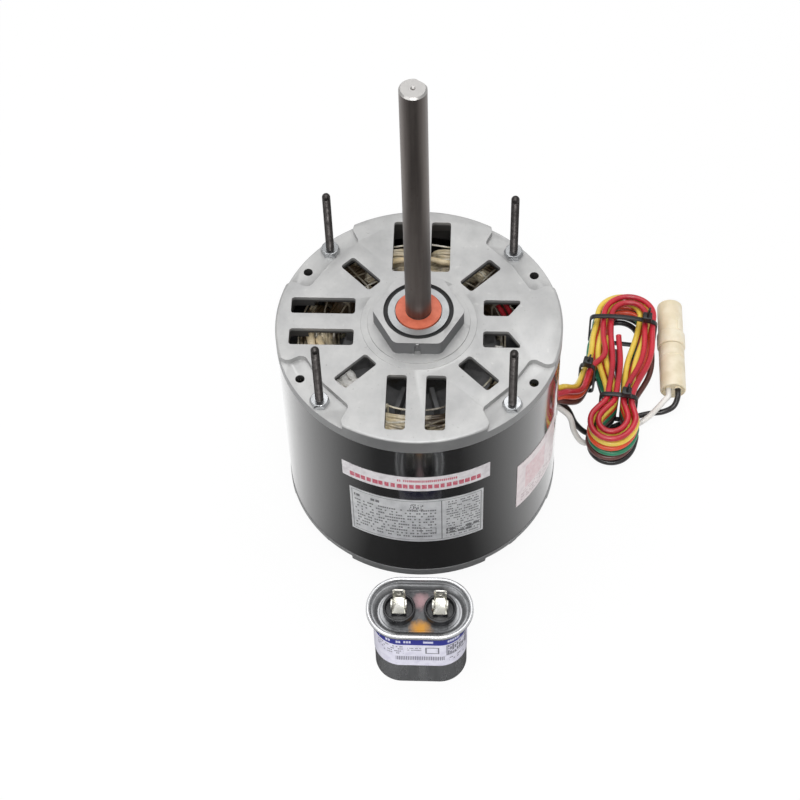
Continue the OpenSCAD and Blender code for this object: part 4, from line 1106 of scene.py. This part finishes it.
def tie_shape(width, height, head_x, tail, bulge):
    """Strap with its locking head and its cut, toothed tail."""
    bm = bmesh.new()
    line = tie_loop(width + TIE_T, height + TIE_T, bulge)
    _, edges = add_line(bm, [(x, -TIE_W / 2, z - TIE_T / 2) for x, z in line])
    push(bm, bmesh.ops.extrude_edge_only(bm, edges=edges), (0, TIE_W, 0))
    bmesh.ops.solidify(outward(bm), geom=bm.faces[:], thickness=TIE_T)
    outward(bm)
    lowest = min(v.co.z for v in bm.verts)
    bmesh.ops.translate(bm, vec=(0, 0, -TIE_T - lowest), verts=bm.verts)
    ease_edges(bm, 0.25, over=50)
    rise = bulge * math.cos(math.pi * head_x / (width + TIE_T))
    top = height + TIE_T - 0.4 + rise * 0.6
    over_head = top + TIE_HEAD.z
    strip = slab((TIE_T, TIE_W, tail + 1), bevel=0.3)
    for vert in strip.verts:
        lift = (vert.co.z + tail / 2) / tail
        vert.co.x += 0.9 * max(0.0, lift) ** 2
        vert.co.y *= 1 - 0.25 * max(0.0, lift - 0.6)
    ribs = [(slab(TIE_RIB, bevel=0.08), moved(head_x + TIE_T * 0.5, 0, over_head + 0.4 + RIB_STEP * i))
            for i in range(int(tail / 1.1))]
    return joined((bm, Matrix()),
                  (ease_edges(slab(TIE_HEAD), 0.6, segments=3), moved(head_x, 0, top + TIE_HEAD.z / 2)),
                  (slab(TIE_MOUTH, bevel=0.2), moved(head_x + 1.4, 0, top + 1.4)),
                  (strip, moved(head_x, 0, over_head - 0.4 + tail / 2)), *ribs)


def at_hank(u, v):
    """Place at u across and v along the hank."""
    place = HANK_ORIGIN + turned((u, v), HANK_TURN)
    return moved(place.x, place.y) @ spun(HANK_TURN)


def make_ties():
    nylon = moulded("black_nylon", "#222325", "#151617", 6, 0.36)
    centre, heading = GROUP_TIE
    lift = hank_lift(centre.y + WIRE_D)
    waist = at_hank(0.5, WAIST_V) @ moved(z=WAIST_LIFT + FLOOR_GAP - 0.75 * TIE_SLACK)
    wide = at_hank(-1.2, LOOP_TIE_V) @ moved(z=FLOOR_GAP + TIE_T)
    leads = moved(centre.x, centre.y, FLOOR_GAP + lift - TIE_SLACK) @ spun(heading - 90)
    group = BUNDLE_PITCH + WIRE_D + 2 * TIE_SLACK
    for name, place, *sizes in (
            ("hank_tie", waist, 20.2, HANK_H + 1.5 * TIE_SLACK, 4, 5, 1.2),
            ("loop_tie", wide, 37, HANK_H + 2 * TIE_SLACK, 13, 6, 2.6),
            ("lead_tie", leads, group, HANK_H + 2.5 * TIE_SLACK, 0, 4, 0.3)):
        shape = tie_shape(*sizes)
        bmesh.ops.transform(shape, matrix=place, verts=shape.verts)
        piece(name + "_strap", shape, nylon, (name,))


make_ties()


# ---------- reversing connector ----------

PLUG_R = 7.2
PLUG_LEN = 29
NOSE_R = 5.6
NOSE_LEN = 8
COLLAR_R = 7.9
COLLAR_LEN = 9
CAP_R = PLUG_R - 0.1
CAP_LEN = 30
CAP_BORE_R = NOSE_R + 0.15
CAP_BORE_LEN = 6.5
JOINT_GAP = 0.15
TURNED_STEPS = 72


def along_y(y):
    """Place on the connector's axis, with Z turned to point along Y."""
    return moved(PLUG_NEAR.x, y, PLUG_NEAR.z) @ spun(-90, "X")


def make_connector():
    nylon = natural_nylon()
    plug = [(0, 1.6), (4.9, 1.6), (5.4, 1.3), (5.7, 0.5)] + arc((6.1, 0.45), 0.45, 180, 90, 3)[1:]
    plug += arc((PLUG_R - 0.9, 0.9), 0.9, -80, 0, 4)
    plug += [(PLUG_R, 20), (PLUG_R - 0.35, 20.4), (PLUG_R - 0.35, 21.2), (PLUG_R, 21.6),
             (PLUG_R, PLUG_LEN - 0.3), (PLUG_R - 0.3, PLUG_LEN), (NOSE_R, PLUG_LEN)]
    plug += arc((NOSE_R - 0.5, PLUG_LEN + NOSE_LEN - 0.5), 0.5, 0, 90, 3) + [(0, PLUG_LEN + NOSE_LEN)]
    near = along_y(PLUG_NEAR.y)
    parts = [(lathe(plug, TURNED_STEPS), near)]
    rim = [(1.75, 1.7), (1.75, 0.9), (2.0, 0.7), (2.25, 0.9), (2.25, 1.7), (1.75, 1.7)]
    parts += [(lathe(rim, 28), near @ moved(side * CONTACT_PITCH / 2)) for side in (-1, 1)]
    housing = piece("plug_housing_turned", joined(*parts), nylon, ("plug_housing",))
    make_connector_leads(housing)

    cap = [(CAP_BORE_R, CAP_BORE_LEN), (CAP_BORE_R, 0.4), (NOSE_R + 0.5, 0)]
    cap += arc((COLLAR_R - 0.6, 0.6), 0.6, -90, 0, 4)
    cap += arc((COLLAR_R - 0.8, COLLAR_LEN - 0.8), 0.8, 0, 90, 4)
    cap += [(CAP_R + 0.25, COLLAR_LEN), (CAP_R, COLLAR_LEN + 0.3)]
    cap += arc((CAP_R - 1.5, CAP_LEN - 1.5), 1.5, 0, 90, 6)
    cap += [(4.6, CAP_LEN), (4.3, CAP_LEN - 0.35), (0, CAP_LEN - 0.35), (0, CAP_BORE_LEN),
            (CAP_BORE_R, CAP_BORE_LEN)]
    joint = along_y(PLUG_NEAR.y + PLUG_LEN + JOINT_GAP)
    parts = [(lathe(cap, TURNED_STEPS), joint)]
    parts += [(slab((2.2, 1.1, 6.4), bevel=0.35),
               joint @ spun(turn) @ moved(y=-CAP_R - 0.1, z=COLLAR_LEN + 3.4)) for turn in (35, 215)]
    piece("cap_housing_turned", joined(*parts), nylon, ("cap_housing",), "plug_cap")


make_connector()


# ---------- run capacitor ----------

BEAD_R = CAN_R + 3.4
LID_Z = 49.6
CUP_R = 8.2
CUP_SIDE = 10.3
CAN_STEPS = 98
BLADE_W = 6.35
BLADE_H = 13.0
BLADE_T = 0.8
BLADE_HOLE_R = 0.85
FOOT_W = 8.0
FOOT_D = 7.0
FOOT_T = 0.9
BRIDGE_LEAN = 37
BLADE_EASE = 0.15


def at_can(x=0.0, y=0.0, z=0.0):
    return moved(CAN_X + x, CAN_Y + y, z)


def oval(profile):
    """The profile turned and opened to the can's oval, in its place."""
    return joined((stretched(lathe(profile, CAN_STEPS), CAN_STRETCH), at_can()))


def make_can():
    profile = [(0, 0)] + arc((CAN_R - 1.2, 1.2), 1.2, -90, 0, 4)
    profile += [(CAN_R, CAN_H - 4.4), (CAN_R + 0.3, CAN_H - 3.6), (CAN_R + 1.0, CAN_H - 3.1)]
    profile += arc((BEAD_R - 1.15, CAN_H - 1.9), 1.15, -75, 60, 9)
    profile += arc((BEAD_R - 0.95, CAN_H - 0.95), 0.95, 20, 170, 9)
    profile += [(BEAD_R - 2.1, CAN_H - 2.0), (BEAD_R - 2.5, CAN_H - 2.3),
                (CAN_R + 0.3, CAN_H - 2.1), (CAN_R - 0.3, CAN_H - 2.3), (CAN_R - 2.0, LID_Z + 0.3),
                (CAN_R - 2.3, LID_Z), (CAN_R - 0.9, LID_Z - 2), (0, LID_Z - 2)]
    piece("capacitor_can_rolled", oval(profile), rolled_can(), ("capacitor_can",))


def make_lid():
    edge = CAN_R - 0.8
    profile = [(0, LID_Z - 1), (edge, LID_Z - 1), (edge, LID_Z), (edge - 1.2, LID_Z),
               (edge - 1.6, LID_Z - 0.35), (edge - 2.4, LID_Z - 0.35), (edge - 2.8, LID_Z), (0, LID_Z)]
    piece("capacitor_lid_pressed", oval(profile), lid_plate(), ("capacitor_lid",))


def make_cups():
    profile = [(0, 3), (2.6, 3)] + arc((2.6, 2.6), 0.4, 90, 0, 3) + [(3, 1.9)]
    profile += arc((3.4, 2.0), 0.4, 180, 270, 3) + [(6.5, 1.6), (6.8, 1.9), (6.9, 3.6)]
    profile += arc((7.4, 3.5), 0.5, 180, 90, 3)[1:] + arc((CUP_R - 0.5, 3.5), 0.5, 90, 0, 4)
    profile += [(CUP_R, 0), (0, 0)]
    parts = [(lathe(profile, 64), at_can(side * CUP_SIDE, 0, LID_Z)) for side in (-1, 1)]
    phenolic = moulded("black_phenolic", "#29292c", "#1b1b1e", 5, 0.24)
    piece("capacitor_cups_turned", joined(*parts), phenolic, ("capacitor_cups",))


def make_terminals():
    half = BLADE_W / 2
    blade_line = [(-half, 0), (half, 0), (half, BLADE_H - 1), (half - 1, BLADE_H), (1 - half, BLADE_H),
                  (-half, BLADE_H - 1)]
    bridge_line = [(-2.7, 0), (2.7, 0), (2.7, 7), (2.2, 7.6), (-2.2, 7.6), (-2.7, 7)]
    prong_line = [(0, 0), (5, 0), (5, 6.6), (3.9, 8), (1.1, 8), (0, 6.6)]
    upright = spun(90, "X")
    parts = []
    for side in (-1, 1):
        base = at_can(side * CUP_SIDE, 0, LID_Z + 3)
        blade = plate(blade_line, BLADE_T, BLADE_EASE, [((0, BLADE_H - 4), BLADE_HOLE_R)])
        parts += [(blade, base @ moved(y=FOOT_D / 2) @ upright),
                  (slab((FOOT_W, FOOT_D, FOOT_T), bevel=0.25), base @ moved(z=FOOT_T / 2)),
                  (plate(bridge_line, 0.6, 0.12),
                   base @ moved(0, -3.1, FOOT_T) @ spun(BRIDGE_LEAN, "X"))]
        parts += [(plate(prong_line, BLADE_T, BLADE_EASE),
                   base @ moved(edge, -FOOT_D / 2) @ spun(90) @ upright)
                  for edge in (-FOOT_W / 2, FOOT_W / 2 - BLADE_T)]
    brass = metal("tinned_brass", "#f1f0ea", "#d8d6cc", 3, 0.24, 0.34, relief=0.002)
    piece("capacitor_terminals_bent", joined(*parts), brass, ("capacitor_terminals",))


make_can()
make_lid()
make_cups()
make_terminals()


# ---------- windings ----------

STACK_MID = 74.9
STACK_HALF = 25.0
POLES = 6
TURN_H = 22.5
MAIN_R = 56.0
START_R = 47.4
STRAND_D = 1.7
STRAND_SIDES = 6
STRAND_PITCH = STRAND_D * 0.92
ARCH_STEPS = 16
ARCH_SQUARE = 0.36
ARCH_FOOT = -1.5
ARCH_SWAY = 0.25
COIL_SPREAD = 4.6
OUTER_REACH = 25
INNER_REACH = 15
INNER_LOW = 4
LEG_PAST = 3


def arch(centre, reach, radius, top, sway):
    """One strand: out of its slot, over the end of the stack and down into the other slot."""
    line = []
    for i in range(ARCH_STEPS + 1):
        t = math.pi * i / ARCH_STEPS
        c, q = math.cos(t), math.sin(t)
        angle = centre - reach * math.copysign(abs(c) ** ARCH_SQUARE, c)
        height = ARCH_FOOT + (top - ARCH_FOOT) * max(q, 0.0) ** ARCH_SQUARE
        line.append(polar(radius + ARCH_SWAY * math.sin(3.1 * t + sway[0]), angle,
                          height + ARCH_SWAY * math.sin(4.3 * t + sway[1])))
    return line


def coil_strands(dice, centre, reach, radius, half_r, low, high):
    """The strands round the outside of one coil's end turn."""
    across = max(2, round(2 * half_r / STRAND_PITCH))
    tall = max(2, round((high - low) / STRAND_PITCH))
    edge = STRAND_D / 2
    spots = [(-half_r + edge + (2 * half_r - STRAND_D) * i / (across - 1), high - edge)
             for i in range(across)]
    for side in (-1, 1):
        spots += [(side * (half_r - edge), low + edge + (high - low - STRAND_D) * i / (tall - 1))
                  for i in range(tall - 1)]
    strands = []
    for offset, top in spots:
        depth = (top - low) / (high - low)
        spread = math.degrees((depth - 0.5) * COIL_SPREAD / radius)
        sway = (dice.uniform(0, TAU), dice.uniform(0, TAU))
        strands.append(arch(centre, reach + spread, radius + offset, top, sway))
    return strands


def both_ends(half):
    """The end turns of the stack's upper end, and the same for its lower end, as one bmesh."""
    ends = [(bm, moved(z=STACK_MID + side * STACK_HALF) @ Matrix.Diagonal((1, 1, side, 1)))
            for bm, side in ((half.copy(), 1), (half, -1))]
    return joined(*ends)


def make_winding(node, radius, turn, half_r, top, outer_h, inner_drop, leg):
    """All six poles of one winding: an outer and an inner coil each, at both ends."""
    dice = random.Random(node)
    strands = []
    centres = [360 / POLES * pole + turn for pole in range(POLES)]
    for centre in centres:
        strands += coil_strands(dice, centre, OUTER_REACH, radius, half_r, top - outer_h, top)
        strands += coil_strands(dice, centre, INNER_REACH, radius, half_r, INNER_LOW, top - inner_drop)
    ends = both_ends(swept(strands, STRAND_D, STRAND_SIDES))
    legs = [(slab((*leg, 2 * (STACK_HALF + LEG_PAST))), spun(centre + reach) @ moved(radius, 0, STACK_MID))
            for centre in centres for reach in (-OUTER_REACH, -INNER_REACH, INNER_REACH, OUTER_REACH)]
    return outward(joined((ends, Matrix()), *legs))


def make_windings():
    varnish = winding_varnish()
    for node, *sizes in (("main_winding", MAIN_R, 0, 4.3, TURN_H, 9, 10, (7.4, 5.4)),
                         ("start_winding", START_R, 30, 3.6, TURN_H - 3, 7.5, 8.5, (6, 3.7))):
        piece(node + "_strands", make_winding(node, *sizes), varnish, (node,),
              sharp=SMOOTH_ALL)


LACE_COUNT = 18
LACE_T = 1.1
LACE_D = 1.2
STITCH_D = 1.0
STITCH_SAG = 0.5
LACE_IN = START_R - 5 - LACE_T / 2
LACE_OUT = MAIN_R + 5.6 + LACE_T / 2
LACE_LOW = 1.4 - LACE_T / 2
LACE_HIGH = TURN_H + 0.4 + LACE_T / 2
STITCH_IN = LACE_IN + 1.2
STITCH_OUT = LACE_OUT - 1.4
STITCH_MIDDLE = MAIN_R - 4.6


def make_lacing():
    """Hoops of cord, a running stitch between them and a knot at each crossing."""
    step = 360 / LACE_COUNT
    quarters = [i / 4 for i in range(5)]
    hoops, stitches, knots = [], [], []
    for i in range(LACE_COUNT):
        turn = step * (i + 0.5)
        hoops.append([polar(r, turn, z) for r, z in
                      rounded_loop(LACE_IN, LACE_OUT, LACE_LOW, LACE_HIGH, 2.0, 3)])
        for radius in (STITCH_IN, STITCH_OUT):
            stitches.append([polar(radius, turn + step * t,
                                   LACE_HIGH - 0.3 - STITCH_SAG * math.sin(math.pi * t)) for t in quarters])
        stitches.append([polar(STITCH_MIDDLE + 1.2 * math.sin(TAU * t), turn + step * t, LACE_HIGH - 0.2)
                         for t in quarters])
        knot = bmesh.new()
        bmesh.ops.create_icosphere(knot, subdivisions=1, radius=1.0)
        knots.append((knot, moved(*polar(STITCH_OUT, turn, LACE_HIGH + 0.1))))
    half = joined((swept(hoops, LACE_D, STRAND_SIDES, closed=True), Matrix()),
                  (swept(stitches, STITCH_D, STRAND_SIDES), Matrix()), *knots)
    cord = fibre_cord("lacing_cord", "#f4f0e4", "#d8ccab", "#a8946a", 0.85)
    piece("winding_lacing_cords", outward(both_ends(half)), cord, ("winding_lacing",),
          sharp=SMOOTH_ALL)


# Insulating sleeves over the joints. For each colour its three tones, then for each
# sleeve the first and last angle, radius, height and diameter
SLEEVES = {
    "white": (("#fbfaf7", "#e6e3dc", "#bfbab0"),
              [(226, 250, 55, 25.6, 4.0), (210, 240, 49, 24.6, 3.8), (204, 238, 44.6, 24.2, 4.4),
               (208, 234, 40.4, 22.8, 4.0), (322, 344, 57, 25.0, 3.6), (338, 352, 49.5, 24.2, 3.0),
               (344, 354, 40.5, 23.4, 4.2)]),
    "cream": (("#eddcbb", "#d6bf92", "#9a7d50"),
              [(176, 214, 54.5, 25.4, 4.2), (182, 204, 49.6, 24.8, 3.8), (62, 118, 50, 24.2, 3.0)]),
}
SLEEVE_PARTS = 14


def make_sleeves():
    for name, (tones, rows) in SLEEVES.items():
        tubes = []
        for first, last, radius, height, diameter in rows:
            line = [polar(radius + 0.5 * math.sin(i * 1.3), first + (last - first) * i / SLEEVE_PARTS,
                          STACK_MID + STACK_HALF + height + 0.3 * math.sin(i * 0.9))
                    for i in range(SLEEVE_PARTS + 1)]
            tubes.append((swept([line], diameter, 12), Matrix()))
        piece(name + "_sleeves", joined(*tubes), fibre_cord(name + "_sleeve", *tones),
              sharp=60)


make_windings()
make_lacing()
make_sleeves()


# ---------- eased castings ----------

CASTING_EASE = 0.3
NUT_EASE = 0.2

for end, face, sign in (("top", TOP_FACE, 1), ("bottom", LOW_FACE, -1)):
    eased_copy(end + "_end_shield", cast_aluminium(end + "_casting", face, sign), CASTING_EASE)
eased_copy("stud_nuts", metal("zinc_plate", "#c4c6c8", "#a2a4a6", 4, 0.2, 0.3, relief=0.002),
           NUT_EASE)


# ---------- CAD nodes that keep their shape ----------

dress(gloss_black_paint(), "shell")
dress(lamination_steel(), "stator_core", "rotor_core")
dress(insulation_film(), "slot_liners")
dress(moulded("black_rubber", "#1d1d1e", "#141415", 4, 0.6),
      "top_rubber_ring", "bottom_rubber_ring", "lead_grommet")
dress(moulded("orange_plastic", "#cb6b50", "#b85a41", 5, 0.5), "shaft_slinger")
dress(moulded("dark_plastic", "#26272a", "#1b1c1e", 5, 0.5), "bore_plug")
dress(protector_case(), "thermal_protector")
dress(metal("bright_steel", "#b4b6b7", "#a2a4a5", 6, 0.34, 0.42, relief=0.003),
      "top_bearing_cup", "bottom_bearing_cup", "top_bearing_spring", "bottom_bearing_spring",
      "retaining_rings")
dress(metal("cast_rotor", "#8b8b8c", "#6c6c6d", 6, 0.45, 0.6, metallic=0.5), "rotor_cage")
dress(metal("oiled_bronze", "#a97b3e", "#8d6431", 4, 0.3, 0.45),
      "top_sleeve_bearing", "bottom_sleeve_bearing", "thrust_washers")
dress(moulded("wool_felt", "#d8cdb0", "#c0b490", 1.5, 0.9, 0.3), "top_felt_wick", "bottom_felt_wick")
dress(shaft_steel(), "shaft")
dress(metal("brass_contact", "#c9a24a", "#b18a36", 3, 0.25, 0.4), "plug_sockets", "cap_pins")
dress(strip_print(), "strip_label")
dress(rating_print(), "rating_plate")
dress(side_print(), "side_label")
dress(capacitor_print(), "capacitor_label")
dress(moulded("film_roll", "#cfc7ad", "#b9b08f", 3, 0.5), "capacitor_element")
